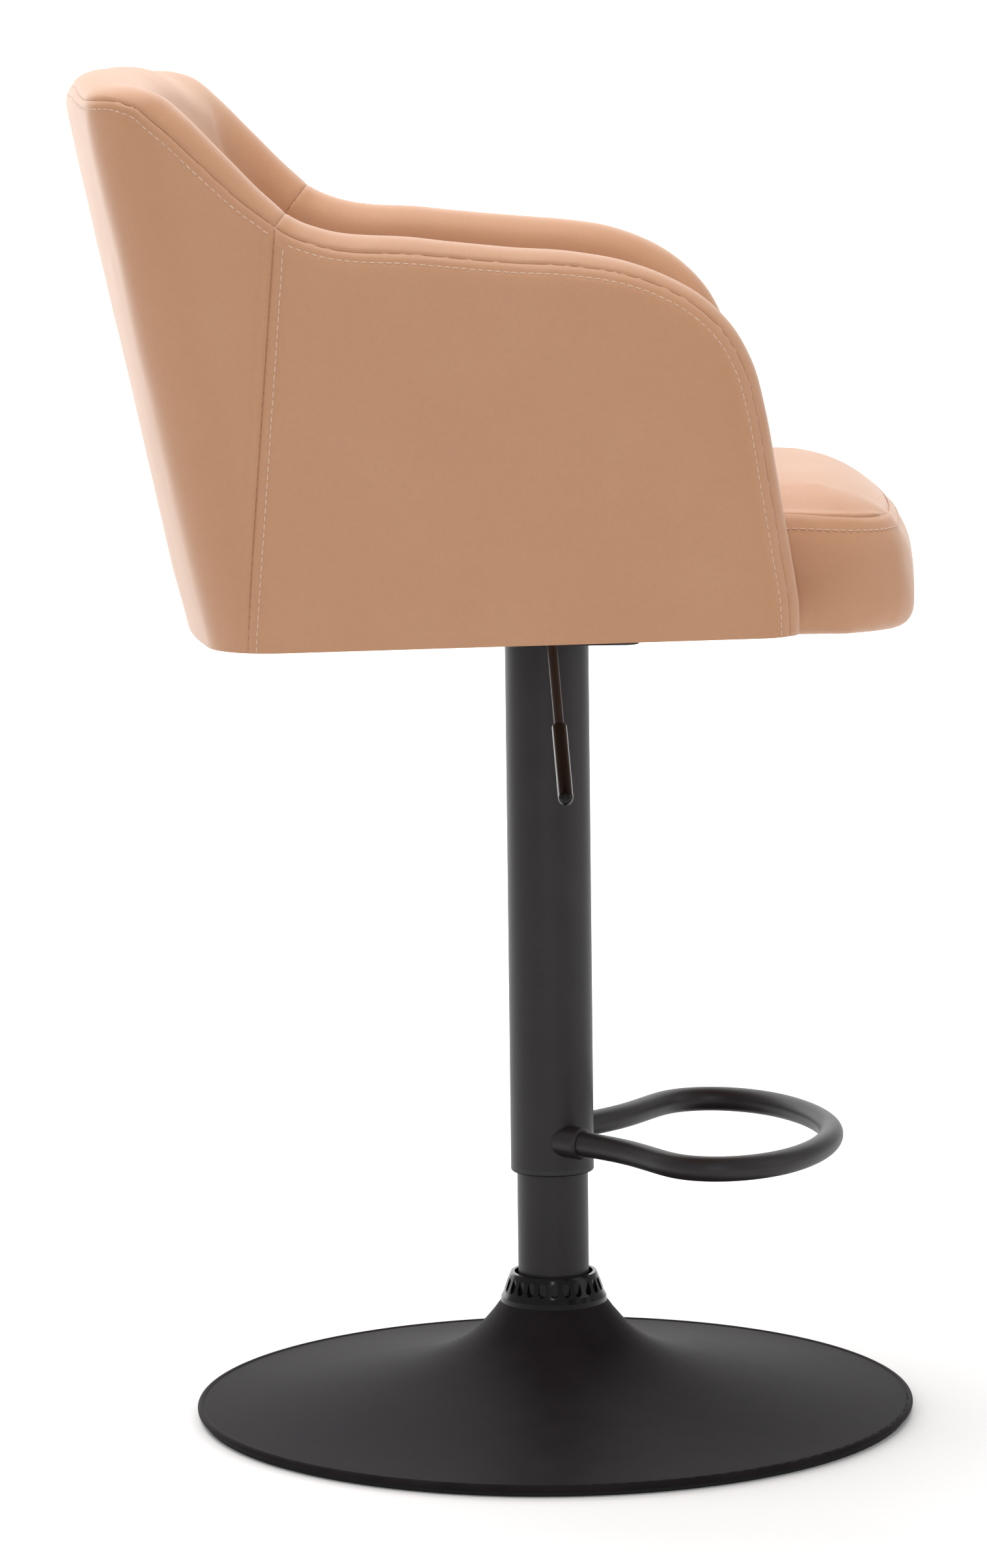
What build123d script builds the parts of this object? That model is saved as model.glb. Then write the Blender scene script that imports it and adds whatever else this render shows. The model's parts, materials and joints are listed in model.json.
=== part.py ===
"""Adjustable swivel stool: a tub seat on a gas lift column with a trumpet base.

Millimetres, +Z up, +X to the front of the seat, origin on the floor on the column's axis.
The seat stands at its lowest height.
"""

import os
from math import atan2, cos, pi, sin

from build123d import *

os.makedirs("parts", exist_ok=True)

# ---- driving dimensions ----
base_r = 225.0  # radius of the trumpet base
shell_t = 2.0  # sheet thickness of the trumpet
neck_r = 33.4  # radius of the trumpet's neck
neck_z = 70.0  # height of the neck's top edge
floor_ring_h = 3.0  # thickness of the rubber ring on the floor

tube_r = 22.2  # column tube, outside radius
tube_t = 1.5
tube_top = 440.0  # top of the column tube
sleeve_r = 26.0  # sliding sleeve, outside radius
sleeve_t = 1.5
sleeve_bottom = 153.0  # lowest edge of the sleeve's end ring

cylinder_r = 14.0  # gas cylinder, outside radius
cylinder_t = 2.0
rod_r = 5.0  # piston rod
lift = 215.0  # travel of the gas lift
run = 0.07  # radial clearance of the running fits

foot_tube_r = 7.75  # footrest tube
foot_z = 175.0  # height of the footrest's centre line
foot_reach = 174.5  # centre line at the front of the loop
foot_half = 113.5  # half width of the loop

plate_top = 516.0  # top of the seat plate, underside of the seat board
plate_t = 3.0
board_t = 12.0  # plywood seat board

tub_half = 240.0  # half width over the arms
arm_wall = 45.0  # thickness of an arm
back_wall = 52.0  # thickness of the back
cover_t = 8.0  # foam and cover outside the frame
frame_t = 12.0  # bent plywood frame
back_x = -221.0  # rear of the tub at its bottom edge
back_lean = 0.212  # run over rise of the back
tub_top = 842.0  # top of the back
rim_round = 19.0  # rounding of the rim

cushion_half = 192.0  # half width of the cushion
cushion_front = 226.0
cushion_seam = 580.0  # height of the seam round the top panel
cushion_top = 604.5  # top of the crown

lever_z = 505.0  # centre of the lever where it lies level
lever_pivot_y = -40.0
lever_rod_r = 3.0
lever_grip_r = 4.5

plate_under = plate_top - plate_t
board_top = plate_top + board_t
tube_in = tube_r - tube_t
sleeve_in = sleeve_r - sleeve_t
cylinder_in = cylinder_r - cylinder_t
cylinder_top = lever_z - 9.0
cylinder_bottom = 62.0


def keep(solid, name):
    """Label a finished sub-part and write it out."""
    solid.label = name
    export_step(solid, f"parts/{name}.step")


def disc(r, z0, z1, mode=Mode.ADD):
    """Add a plain cylinder between two heights to the part being built."""
    with BuildSketch(Plane.XY.offset(z0)) as round_face:
        Circle(r)
    extrude(round_face.sketch, amount=z1 - z0, mode=mode)


def ring(r_in, r_out, z0, z1, mode=Mode.ADD):
    """Add a plain ring between two heights to the part being built."""
    with BuildSketch(Plane.XY.offset(z0)) as ring_face:
        Circle(r_out)
        Circle(r_in, mode=Mode.SUBTRACT)
    extrude(ring_face.sketch, amount=z1 - z0, mode=mode)


# ================= base =================

# outer curve of the trumpet from the neck out to the rim
scale_r = base_r / 225.0
flare = [
    (neck_r, neck_z),
    (neck_r + 4.0, neck_z - 5.6),
    (neck_r + 9.3, neck_z - 12.0),
    (neck_r + 15.6, neck_z - 18.6),
    (neck_r + 25.0, neck_z - 26.0),
    (neck_r + 39.0, neck_z - 33.4),
    (93.0 * scale_r, 29.4),
    (120.0 * scale_r, 22.8),
    (155.0 * scale_r, 16.0),
    (190.0 * scale_r, 10.6),
    (base_r - 4.0, 7.2),
]

with BuildPart() as base_shell:
    with BuildSketch(Plane.XZ):
        with BuildLine():
            outer = Spline(*flare)
            rim = ThreePointArc(outer @ 1, (base_r, 4.9), (base_r - 2.0, floor_ring_h))
            foot = Line(rim @ 1, (base_r - 20.0, floor_ring_h))
            lip = Line(foot @ 1, (base_r - 20.0, floor_ring_h + 1.6))
            inner = Spline(
                lip @ 1,
                (base_r - 9.0, floor_ring_h + 2.2),
                (190.0 * scale_r, 10.6 - shell_t),
                (155.0 * scale_r, 16.0 - shell_t),
                (120.0 * scale_r, 22.8 - shell_t - 0.1),
                (93.0 * scale_r, 29.4 - shell_t - 0.2),
                (neck_r + 37.8, neck_z - 33.4 - 1.6),
                (neck_r + 23.4, neck_z - 26.0 - 1.3),
                (neck_r + 13.9, neck_z - 18.6 - 1.1),
                (neck_r + 7.4, neck_z - 12.0 - 0.8),
                (neck_r + 2.2, neck_z - 5.6 - 0.4),
                (neck_r - shell_t, neck_z),
            )
            Line(inner @ 1, outer @ 0)
        make_face()
    revolve(axis=Axis.Z)
keep(base_shell.part, "base_shell")

with BuildPart() as floor_ring:
    ring(base_r - 20.0, base_r - 3.2, 0, floor_ring_h)
    fillet(floor_ring.edges().filter_by(GeomType.CIRCLE).group_by(Axis.Z)[0], 0.8)
keep(floor_ring.part, "floor_ring")

ballast_r = 150.0 * scale_r
ballast_z = 14.0
with BuildPart() as base_weight:
    disc(ballast_r, 4.0, ballast_z)
    disc(22.0, 4.0, ballast_z - 4.0, mode=Mode.SUBTRACT)
    disc(6.3, 4.0, ballast_z, mode=Mode.SUBTRACT)
    chamfer(base_weight.edges().filter_by(GeomType.CIRCLE).sort_by(SortBy.RADIUS)[-2:], 1.0)
keep(base_weight.part, "base_weight")

with BuildPart() as base_washer:
    ring(6.3, 15.0, ballast_z - 5.5, ballast_z - 4.0)
keep(base_washer.part, "base_washer")

with BuildPart() as base_bolt:
    with BuildSketch(Plane.XY.offset(ballast_z - 13.0)):
        RegularPolygon(radius=9.0, side_count=6, major_radius=False)
    extrude(amount=7.5)
    disc(6.0, ballast_z - 5.5, ballast_z + 10.0)
    chamfer(base_bolt.edges().filter_by(GeomType.CIRCLE).sort_by(Axis.Z)[-1], 0.8)
keep(base_bolt.part, "base_bolt")

with BuildPart() as column_tube:
    ring(tube_in, tube_r, ballast_z, tube_top)
keep(column_tube.part, "column_tube")

with BuildPart() as column_plug:
    ring(6.0, tube_in, ballast_z, ballast_z + 10.0)
keep(column_plug.part, "column_plug")

# the clip turns freely below this floor; the thrust bearing stands on it
floor_z = 34.0
with BuildPart() as bearing_floor:
    ring(rod_r + run, tube_in, floor_z, floor_z + 6.0)
keep(bearing_floor.part, "bearing_floor")

race_z = floor_z + 6.0
with BuildPart() as lower_race:
    ring(rod_r + 1.0, 15.0, race_z, race_z + 2.5)
keep(lower_race.part, "lower_race")

ball_r = 2.45
ball_count = 10
ball_z = race_z + 2.5 + ball_r
ball_circle = 10.5
with BuildPart() as bearing_balls:
    with Locations((0, 0, ball_z)):
        with PolarLocations(ball_circle, ball_count):
            Sphere(ball_r)
keep(bearing_balls.part, "bearing_balls")

with BuildPart() as ball_cage:
    ring(7.0, 14.0, ball_z - 0.9, ball_z + 0.9)
    with BuildSketch(Plane.XY.offset(ball_z - 0.9)):
        with PolarLocations(ball_circle, ball_count):
            Circle(ball_r)
    extrude(amount=1.8, mode=Mode.SUBTRACT)
keep(ball_cage.part, "ball_cage")

with BuildPart() as guide_bush:
    ring(cylinder_r + run, tube_in, tube_top - 75.0, tube_top)
    ring(cylinder_r + run, tube_r, tube_top, tube_top + 3.0)
    chamfer(guide_bush.edges().filter_by(GeomType.CIRCLE).group_by(Axis.Z)[-1].sort_by(SortBy.RADIUS)[-1], 0.8)
keep(guide_bush.part, "guide_bush")

# plastic collar over the neck, with a row of oval recesses for grip
recess_count = 24
collar_top = neck_z + 18.4
recess_z = neck_z + 11.2
recess_planes = [
    Plane(
        origin=(
            (neck_r - 5.4) * cos(2 * pi * i / recess_count),
            (neck_r - 5.4) * sin(2 * pi * i / recess_count),
            recess_z,
        ),
        x_dir=(0, 0, 1),
        z_dir=(cos(2 * pi * i / recess_count), sin(2 * pi * i / recess_count), 0),
    )
    for i in range(recess_count)
]
with BuildPart() as collar:
    with BuildSketch(Plane.XZ):
        with BuildLine():
            Polyline(
                (tube_r, neck_z - 8.0),
                (neck_r - shell_t - 0.4, neck_z - 8.0),
                (neck_r - shell_t - 0.4, neck_z),
                (neck_r, neck_z),
                (neck_r - 0.3, neck_z + 3.0),
                (neck_r - 2.1, neck_z + 6.2),
                (neck_r - 5.9, collar_top - 1.2),
                (neck_r - 6.6, collar_top),
                (tube_r + 2.4, collar_top),
                (tube_r + 2.4, neck_z - 2.0),
                (tube_r, neck_z - 2.0),
                close=True,
            )
        make_face()
    revolve(axis=Axis.Z)
    with BuildSketch(*recess_planes):
        SlotOverall(8.4, 4.6)
    extrude(amount=8.0, mode=Mode.SUBTRACT)
keep(collar.part, "collar")

# ================= rod =================

shoulder_z = 47.5 + 2.5
piston_z = cylinder_bottom + lift + 28.0
with BuildPart() as piston_rod:
    disc(rod_r, floor_z - 6.0, piston_z + 20.0)
    ring(rod_r, 9.0, shoulder_z, shoulder_z + 3.0)
    ring(rod_r - 1.0, rod_r + 1.0, floor_z - 3.6, floor_z - 2.1, mode=Mode.SUBTRACT)
    chamfer(piston_rod.edges().filter_by(GeomType.CIRCLE).sort_by(Axis.Z)[0], 0.8)
keep(piston_rod.part, "piston_rod")

with BuildPart() as retaining_clip:
    ring(rod_r - 1.0, rod_r + 3.5, floor_z - 3.6, floor_z - 2.1)
    with BuildSketch(Plane.XY.offset(floor_z - 4.0)):
        with Locations((rod_r + 2.5, 0)):
            Rectangle(9.0, 5.0)
    extrude(amount=3.0, mode=Mode.SUBTRACT)
keep(retaining_clip.part, "retaining_clip")

with BuildPart() as upper_race:
    ring(rod_r, 15.0, shoulder_z - 2.5, shoulder_z)
keep(upper_race.part, "upper_race")

with BuildPart() as lift_buffer:
    ring(rod_r, 12.5, shoulder_z + 3.0, cylinder_bottom)
keep(lift_buffer.part, "lift_buffer")

with BuildPart() as piston:
    ring(rod_r, cylinder_in - run, piston_z, piston_z + 20.0)
    ring(cylinder_in - 2.0, cylinder_in, piston_z + 8.5, piston_z + 11.5, mode=Mode.SUBTRACT)
keep(piston.part, "piston")

with BuildPart() as piston_seal:
    ring(cylinder_in - 2.0, cylinder_in - run, piston_z + 8.5, piston_z + 11.5)
keep(piston_seal.part, "piston_seal")

# ================= seat column =================

with BuildPart() as gas_cylinder:
    disc(cylinder_r, cylinder_bottom, cylinder_top)
    disc(cylinder_in, cylinder_bottom, cylinder_top - 11.0, mode=Mode.SUBTRACT)
    disc(4.0 + run, cylinder_top - 7.0, cylinder_top, mode=Mode.SUBTRACT)
    chamfer(gas_cylinder.edges().filter_by(GeomType.CIRCLE).group_by(Axis.Z)[-1].sort_by(SortBy.RADIUS)[-1], 1.0)
keep(gas_cylinder.part, "gas_cylinder")

with BuildPart() as rod_guide:
    ring(rod_r + run, cylinder_in, cylinder_bottom + 2.0, cylinder_bottom + 22.0)
keep(rod_guide.part, "rod_guide")

with BuildPart() as valve_pin:
    disc(4.0, cylinder_top - 3.5, cylinder_top + 3.0)
    with Locations((0, 0, cylinder_top + 3.0)):
        Sphere(4.0, arc_size1=0)
    split(bisect_by=Plane.XY.offset(cylinder_top + 5.9), keep=Keep.BOTTOM)
keep(valve_pin.part, "valve_pin")

with BuildPart() as taper_socket:
    ring(cylinder_r, sleeve_in, cylinder_top - 26.0, cylinder_top - 2.0)
keep(taper_socket.part, "taper_socket")

with BuildPart() as sleeve_tube:
    ring(sleeve_in, sleeve_r, sleeve_bottom + 3.6, plate_under)
    with BuildSketch(Plane.XY.offset(lever_z - 6.0)):
        with Locations((0, -sleeve_r)):
            Rectangle(12.0, 8.0)
    extrude(amount=20.0, mode=Mode.SUBTRACT)
keep(sleeve_tube.part, "sleeve_tube")

with BuildPart() as sleeve_glide:
    ring(tube_r + run, sleeve_r, sleeve_bottom, sleeve_bottom + 3.6)
    ring(tube_r + run, sleeve_in, sleeve_bottom + 3.6, sleeve_bottom + 28.0)
    fillet(sleeve_glide.edges().filter_by(GeomType.CIRCLE).group_by(Axis.Z)[0].sort_by(SortBy.RADIUS)[-1], 1.5)
keep(sleeve_glide.part, "sleeve_glide")

# bent tube loop, its two legs welded to the sides of the sleeve
foot_side = [
    (6.0, 19.5),
    (16.0, 28.5),
    (30.0, 41.5),
    (47.0, 61.0),
    (64.0, foot_half - 25.5),
    (79.0, foot_half - 7.0),
    (98.0, foot_half),
    (119.0, foot_half - 4.0),
    (139.0, foot_half - 18.0),
    (foot_reach - 18.5, foot_half - 41.5),
    (foot_reach - 5.0, foot_half - 76.0),
]
foot_path = foot_side + [(foot_reach, 0.0)] + [(x, -y) for x, y in reversed(foot_side)]
with BuildPart() as footrest:
    with BuildLine(Plane.XY.offset(foot_z)) as foot_line:
        Spline(*foot_path)
    with BuildSketch(Plane(origin=foot_line.line @ 0, z_dir=foot_line.line % 0)):
        Circle(foot_tube_r)
        Circle(foot_tube_r - 1.5, mode=Mode.SUBTRACT)
    sweep()
    with BuildSketch(Plane.XY.offset(foot_z - 20.0)):
        Circle(sleeve_r)
    extrude(amount=40.0, mode=Mode.SUBTRACT)
keep(footrest.part, "footrest")

weld_start = foot_line.line @ 0
weld_dir = (foot_line.line @ 0.03) - (foot_line.line @ 0)
with BuildPart() as footrest_welds:
    with BuildSketch(Plane(origin=weld_start, z_dir=weld_dir)):
        Circle(foot_tube_r + 2.2)
        Circle(foot_tube_r, mode=Mode.SUBTRACT)
    extrude(amount=17.5)
    chamfer(
        footrest_welds.edges()
        .filter_by(GeomType.CIRCLE)
        .sort_by(lambda e: -Vector(weld_dir).dot(e.center() - weld_start))
        .sort_by(SortBy.RADIUS)[-2:]
        .sort_by(lambda e: -Vector(weld_dir).dot(e.center() - weld_start))[0],
        1.6,
    )
    with BuildSketch(Plane.XY.offset(foot_z - 20.0)):
        Circle(sleeve_r)
    extrude(amount=40.0, mode=Mode.SUBTRACT)
    with BuildSketch(Plane(origin=foot_line.line @ 0, z_dir=foot_line.line % 0)):
        Circle(foot_tube_r)
    sweep(path=foot_line.line, mode=Mode.SUBTRACT)
    mirror(about=Plane.XZ)
keep(footrest_welds.part, "footrest_welds")

# ================= seat plate and lever mechanism =================

bolt_x = 76.0
bolt_y = 58.0
bolt_spots = [(bolt_x, bolt_y), (bolt_x, -bolt_y), (-bolt_x, bolt_y), (-bolt_x, -bolt_y)]

with BuildPart() as seat_plate:
    with BuildSketch(Plane.XY.offset(plate_under)):
        RectangleRounded(192.0, 152.0, 14.0)
        with Locations(*bolt_spots):
            Circle(4.0, mode=Mode.SUBTRACT)
    extrude(amount=plate_t)
keep(seat_plate.part, "seat_plate")

house_z = 489.0
with BuildPart() as lever_housing:
    with BuildSketch(Plane.XY.offset(house_z)):
        RectangleRounded(112.0, 104.0, 9.0)
    extrude(amount=plate_under - house_z)
    with BuildSketch(Plane.XY.offset(house_z + 2.0)):
        RectangleRounded(108.0, 100.0, 7.0)
    extrude(amount=plate_under - house_z, mode=Mode.SUBTRACT)
    with BuildSketch(Plane.XY.offset(house_z)):
        Circle(sleeve_r)
    extrude(amount=4.0, mode=Mode.SUBTRACT)
    with BuildSketch(Plane.XZ.offset(40.0)):
        with Locations((0, lever_z + 1.0)):
            Rectangle(14.0, 12.0)
    extrude(amount=20.0, mode=Mode.SUBTRACT)
keep(lever_housing.part, "lever_housing")

with BuildPart() as lever_bracket:
    with BuildSketch(Plane.XY.offset(lever_z - 6.0)):
        with Locations((9.9, lever_pivot_y), (-9.9, lever_pivot_y)):
            Rectangle(2.0, 12.0)
    extrude(amount=plate_under - lever_z + 6.0)
    with BuildSketch(Plane.YZ.offset(-15.0)):
        with Locations((lever_pivot_y, lever_z)):
            Circle(3.0)
    extrude(amount=30.0, mode=Mode.SUBTRACT)
keep(lever_bracket.part, "lever_bracket")

with BuildPart() as lever_pivot_pin:
    with BuildSketch(Plane.YZ.offset(-12.6)):
        with Locations((lever_pivot_y, lever_z)):
            Circle(3.0)
    extrude(amount=25.2)
    chamfer(lever_pivot_pin.edges().filter_by(GeomType.CIRCLE), 0.4)
keep(lever_pivot_pin.part, "lever_pivot_pin")

with BuildPart() as plate_bolts:
    with BuildSketch(Plane.XY.offset(plate_under - 5.3)):
        with Locations(*bolt_spots):
            RegularPolygon(radius=6.5, side_count=6, major_radius=False)
    extrude(amount=5.3)
    with BuildSketch(Plane.XY.offset(plate_under)):
        with Locations(*bolt_spots):
            Circle(4.0)
    extrude(amount=plate_t + board_t - 2.0)
keep(plate_bolts.part, "plate_bolts")

with BuildPart() as tee_nuts:
    with BuildSketch(Plane.XY.offset(plate_top)):
        with Locations(*bolt_spots):
            Circle(5.0)
            Circle(4.0, mode=Mode.SUBTRACT)
    extrude(amount=board_t - 1.5)
    with BuildSketch(Plane.XY.offset(board_top - 1.5)):
        with Locations(*bolt_spots):
            Circle(9.5)
            Circle(4.0, mode=Mode.SUBTRACT)
    extrude(amount=1.5)
keep(tee_nuts.part, "tee_nuts")

# ================= lever =================

# the rod lies level over the valve pin, then bends down and outward below the edge of the tub
lever_line_pts = [
    (0.0, 2.0, lever_z),
    (0.0, -70.0, lever_z),
    (1.2, -84.5, lever_z - 3.4),
]
grip_start = Vector(5.6, -150.0, lever_z - 53.0)
grip_end = Vector(8.6, -200.0, lever_z - 92.0)
bend_to_grip = 67.3  # straight run of the rod between its bend and the grip
grip_dir = (grip_end - grip_start).normalized()
grip_len = (grip_end - grip_start).length
grip_plane = Plane(origin=grip_start, z_dir=grip_dir)

with BuildPart() as lever_rod:
    with BuildLine() as lever_line:
        first = Line(lever_line_pts[0], lever_line_pts[1])
        last = Line(grip_start - grip_dir * bend_to_grip, grip_start + grip_dir * (grip_len - 14.0))
        bend = Spline(
            first @ 1,
            lever_line_pts[2],
            last @ 0,
            tangents=(first % 1, last % 0),
        )
    with BuildSketch(Plane(origin=first @ 0, z_dir=first % 0)):
        Circle(lever_rod_r)
    sweep(path=Wire([first, bend, last]))
    with BuildSketch(Plane.YZ.offset(-8.5)):
        with Locations((lever_pivot_y, lever_z)):
            Circle(5.8)
    extrude(amount=17.0)
    with BuildSketch(Plane.YZ.offset(-9.0)):
        with Locations((lever_pivot_y, lever_z)):
            Circle(3.0 + run)
    extrude(amount=18.0, mode=Mode.SUBTRACT)
keep(lever_rod.part, "lever_rod")

with BuildPart() as lever_grip:
    with BuildSketch(grip_plane):
        Circle(lever_grip_r)
    extrude(amount=grip_len - lever_grip_r)
    with Locations(grip_plane.offset(grip_len - lever_grip_r)):
        Sphere(lever_grip_r)
    fillet(lever_grip.edges().filter_by(GeomType.CIRCLE).sort_by(lambda e: (e.center() - grip_start).length)[0], 0.8)
    with BuildSketch(grip_plane):
        Circle(lever_rod_r)
    extrude(amount=grip_len - 14.0, mode=Mode.SUBTRACT)
keep(lever_grip.part, "lever_grip")

# ================= tub =================

lean_dir = Vector(-back_lean, 0, 1).normalized()
sweep_len = 400.0 / lean_dir.Z
plan_z = 500.0


def tub_prism(inset_side, inset_back, corner, mode=Mode.ADD):
    """Sweep the tub's plan, brought in from its outer faces, up along the lean of the back."""
    half = tub_half - inset_side
    rear = back_x + inset_back + back_lean * (509.0 - plan_z)
    with BuildSketch(Plane.XY.offset(plan_z)) as plan:
        with BuildLine():
            arc = ThreePointArc((rear + 30.0, -half), (rear, 0), (rear + 30.0, half))
            Polyline(arc @ 1, (400.0, half), (400.0, -half), arc @ 0)
        make_face()
        fillet(plan.vertices().sort_by(Axis.X)[:2], corner)
    extrude(plan.sketch, amount=sweep_len, dir=lean_dir, mode=mode)


knee_x = -143.0
knee_z = 752.5
arm_front = 146.0
side_curve = [
    (-20.0, 740.0),
    (16.0, 737.0),
    (44.0, 732.0),
    (68.0, 723.5),
    (90.0, 710.5),
    (107.0, 693.5),
    (118.5, 672.5),
    (126.0, 645.0),
    (132.5, 607.0),
    (139.0, 567.0),
    (arm_front - 1.5, 527.0),
]


def moved_in(edge, inset, last):
    """Draw an edge of the side outline again, brought in square to itself, from the last one's end."""
    steps = 1 if edge.geom_type == GeomType.LINE else 10
    points = []
    for i in range(steps + 1):
        spot, along = edge @ (i / steps), edge % (i / steps)
        points.append((spot.X + along.Y * inset, spot.Y - along.X * inset))
    if last:
        points[0] = ((last @ 1).X, (last @ 1).Y)
    if steps == 1:
        return Line(*points)
    return Spline(*points, tangents=(edge % 0, edge % 1))


def side_cut(inset, mode=Mode.INTERSECT):
    """Use the outline of the tub seen from the side, brought in from the rim, across its width."""
    with BuildSketch(Plane.XZ.offset(-300.0)) as outline:
        with BuildLine():
            start = Line((-400.0, tub_top), (-245.0, tub_top), mode=Mode.PRIVATE)
            crest = Spline(
                start @ 1,
                (-229.0, tub_top - 5.0),
                (-215.0, tub_top - 16.5),
                tangents=((1, 0), (1, -1)),
                mode=Mode.PRIVATE,
            )
            slope_end = (knee_x - 16.0, tub_top - 16.5 - (knee_x - 16.0 + 215.0))
            slope = Line(crest @ 1, slope_end, mode=Mode.PRIVATE)
            knee = Spline(
                slope @ 1,
                (knee_x + 14.0, knee_z - 0.6),
                tangents=((1, -1), (side_curve[0][0] - knee_x - 14.0, 740.0 - knee_z + 0.6)),
                mode=Mode.PRIVATE,
            )
            arm = Line(knee @ 1, side_curve[0], mode=Mode.PRIVATE)
            front = Spline(*side_curve, tangents=(arm % 1, (0.03, -1)), mode=Mode.PRIVATE)
            rim = None
            for edge in (start, crest, slope, knee, arm, front):
                rim = moved_in(edge, inset, rim)
            low = rim @ 1
            Polyline(low, (low.X + 2.0, 400.0), (-400.0, 400.0), (-400.0, tub_top - inset))
        make_face()
    extrude(outline.sketch, amount=600.0, mode=mode)


def bottom_trim():
    """Trim everything below the tub's bottom edge, which rises a little to the front."""
    with BuildSketch(Plane.XZ.offset(-300.0)) as below:
        with BuildLine():
            Polyline(
                (-400.0, 300.0), (400.0, 300.0), (400.0, 518.6), (-400.0, 503.7), close=True
            )
        make_face()
    extrude(below.sketch, amount=600.0, mode=Mode.SUBTRACT)


with BuildPart() as tub_body:
    tub_prism(0, 0, 46.0)
    tub_prism(arm_wall, back_wall, 26.0, mode=Mode.SUBTRACT)
    side_cut(0)
    bottom_trim()

def is_rim(edge):
    """The long edges that run round the rim, without the lines across it and the upright corners."""
    a, b = edge @ 0, edge @ 1
    across = edge.geom_type == GeomType.LINE and abs(a.X - b.X) < 0.01 and abs(a.Z - b.Z) < 0.01
    low = min(a.Z, b.Z) < 520.0
    return not across and not (low and (a.X < 140.0 or b.X < 140.0 or max(a.Z, b.Z) < 520.0))


with BuildPart() as tub_round:
    add(tub_body.part)
    fillet(tub_round.edges().filter_by(is_rim), rim_round)

# side seams of the covers: the back's cover ends and the arms' covers begin on this plane
seam_plane = Plane(origin=(-177.0, 0, 509.0), x_dir=(0, 1, 0), z_dir=(1, 0, -0.085))
inner_seam_plane = Plane(origin=(-148.0, 0, 755.0), x_dir=(0, 1, 0), z_dir=(1, 0, 0.165))
rim_wrap = 9.0  # how far the inner cover wraps over the rim before its seam
frame_drop = 11.0  # padding over the frame's upper edge

# screws through the frame into the edge of the board, their heads let into the frame
screw_z = plate_top + board_t / 2
screw_head_r = 4.2
screw_r = 2.2
frame_rear_x = back_x + cover_t - back_lean * (screw_z - 509.0)
screw_planes = []
for x in (-115.0, -20.0, 75.0):
    for side in (-1, 1):
        start = (x, side * (tub_half - cover_t - 0.5), screw_z)
        screw_planes.append(Plane(origin=start, x_dir=(0, 0, 1), z_dir=(0, -side, 0)))
rear_start = (frame_rear_x + 2.5, 0, screw_z)
screw_planes.append(Plane(origin=rear_start, x_dir=(0, 0, 1), z_dir=(1, 0, 0)))

with BuildPart() as frame_screws:
    with BuildSketch(*screw_planes):
        Circle(screw_head_r)
    extrude(amount=3.0)
    with BuildSketch(*screw_planes):
        Circle(screw_r)
    extrude(amount=34.0)
keep(frame_screws.part, "frame_screws")

with BuildPart() as screw_space:
    with BuildSketch(*[plane.offset(-9.0) for plane in screw_planes]):
        Circle(screw_head_r)
    extrude(amount=12.0)
    with BuildSketch(*screw_planes):
        Circle(screw_r)
    extrude(amount=34.0)

with BuildPart() as frame_blank:
    tub_prism(cover_t, cover_t, 38.0)
    tub_prism(cover_t + frame_t, cover_t + frame_t, 26.0, mode=Mode.SUBTRACT)
    side_cut(frame_drop)
    bottom_trim()

with BuildPart() as tub_frame:
    add(frame_blank.part)
    add(screw_space.part, mode=Mode.SUBTRACT)
keep(tub_frame.part, "tub_frame")

with BuildPart() as outer_cover:
    add(tub_round.part)
    side_cut(rim_wrap)
    tub_prism(cover_t, cover_t, 38.0, mode=Mode.SUBTRACT)

with BuildPart() as back_panel:
    add(outer_cover.part)
    split(bisect_by=seam_plane, keep=Keep.BOTTOM)
keep(back_panel.part, "back_panel")

with BuildPart() as side_panels:
    add(outer_cover.part)
    split(bisect_by=seam_plane, keep=Keep.TOP)
side_solids = side_panels.solids().sort_by(Axis.Y)

with BuildPart() as side_panel_right:
    add(side_solids[0])
keep(side_panel_right.part, "side_panel_right")

with BuildPart() as side_panel_left:
    add(side_solids[-1])
keep(side_panel_left.part, "side_panel_left")

board_wide_x = 118.0  # the board narrows in front of this
with BuildPart() as inner_cover:
    add(tub_round.part)
    add(outer_cover.part, mode=Mode.SUBTRACT)
    add(frame_blank.part, mode=Mode.SUBTRACT)
    with BuildSketch(Plane.XY.offset(450.0)):
        with Locations((board_wide_x - 300.0, 0)):
            Rectangle(600.0, 600.0)
    extrude(amount=board_top - 450.0, mode=Mode.SUBTRACT)

with BuildPart() as back_pad:
    add(inner_cover.part)
    split(bisect_by=inner_seam_plane, keep=Keep.BOTTOM)
keep(back_pad.part, "back_pad")

with BuildPart() as arm_pads:
    add(inner_cover.part)
    split(bisect_by=inner_seam_plane, keep=Keep.TOP)
arm_solids = arm_pads.solids().sort_by(Axis.Y)

with BuildPart() as arm_pad_right:
    add(arm_solids[0])
keep(arm_pad_right.part, "arm_pad_right")

with BuildPart() as arm_pad_left:
    add(arm_solids[-1])
keep(arm_pad_left.part, "arm_pad_left")

# ================= seat =================

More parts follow.
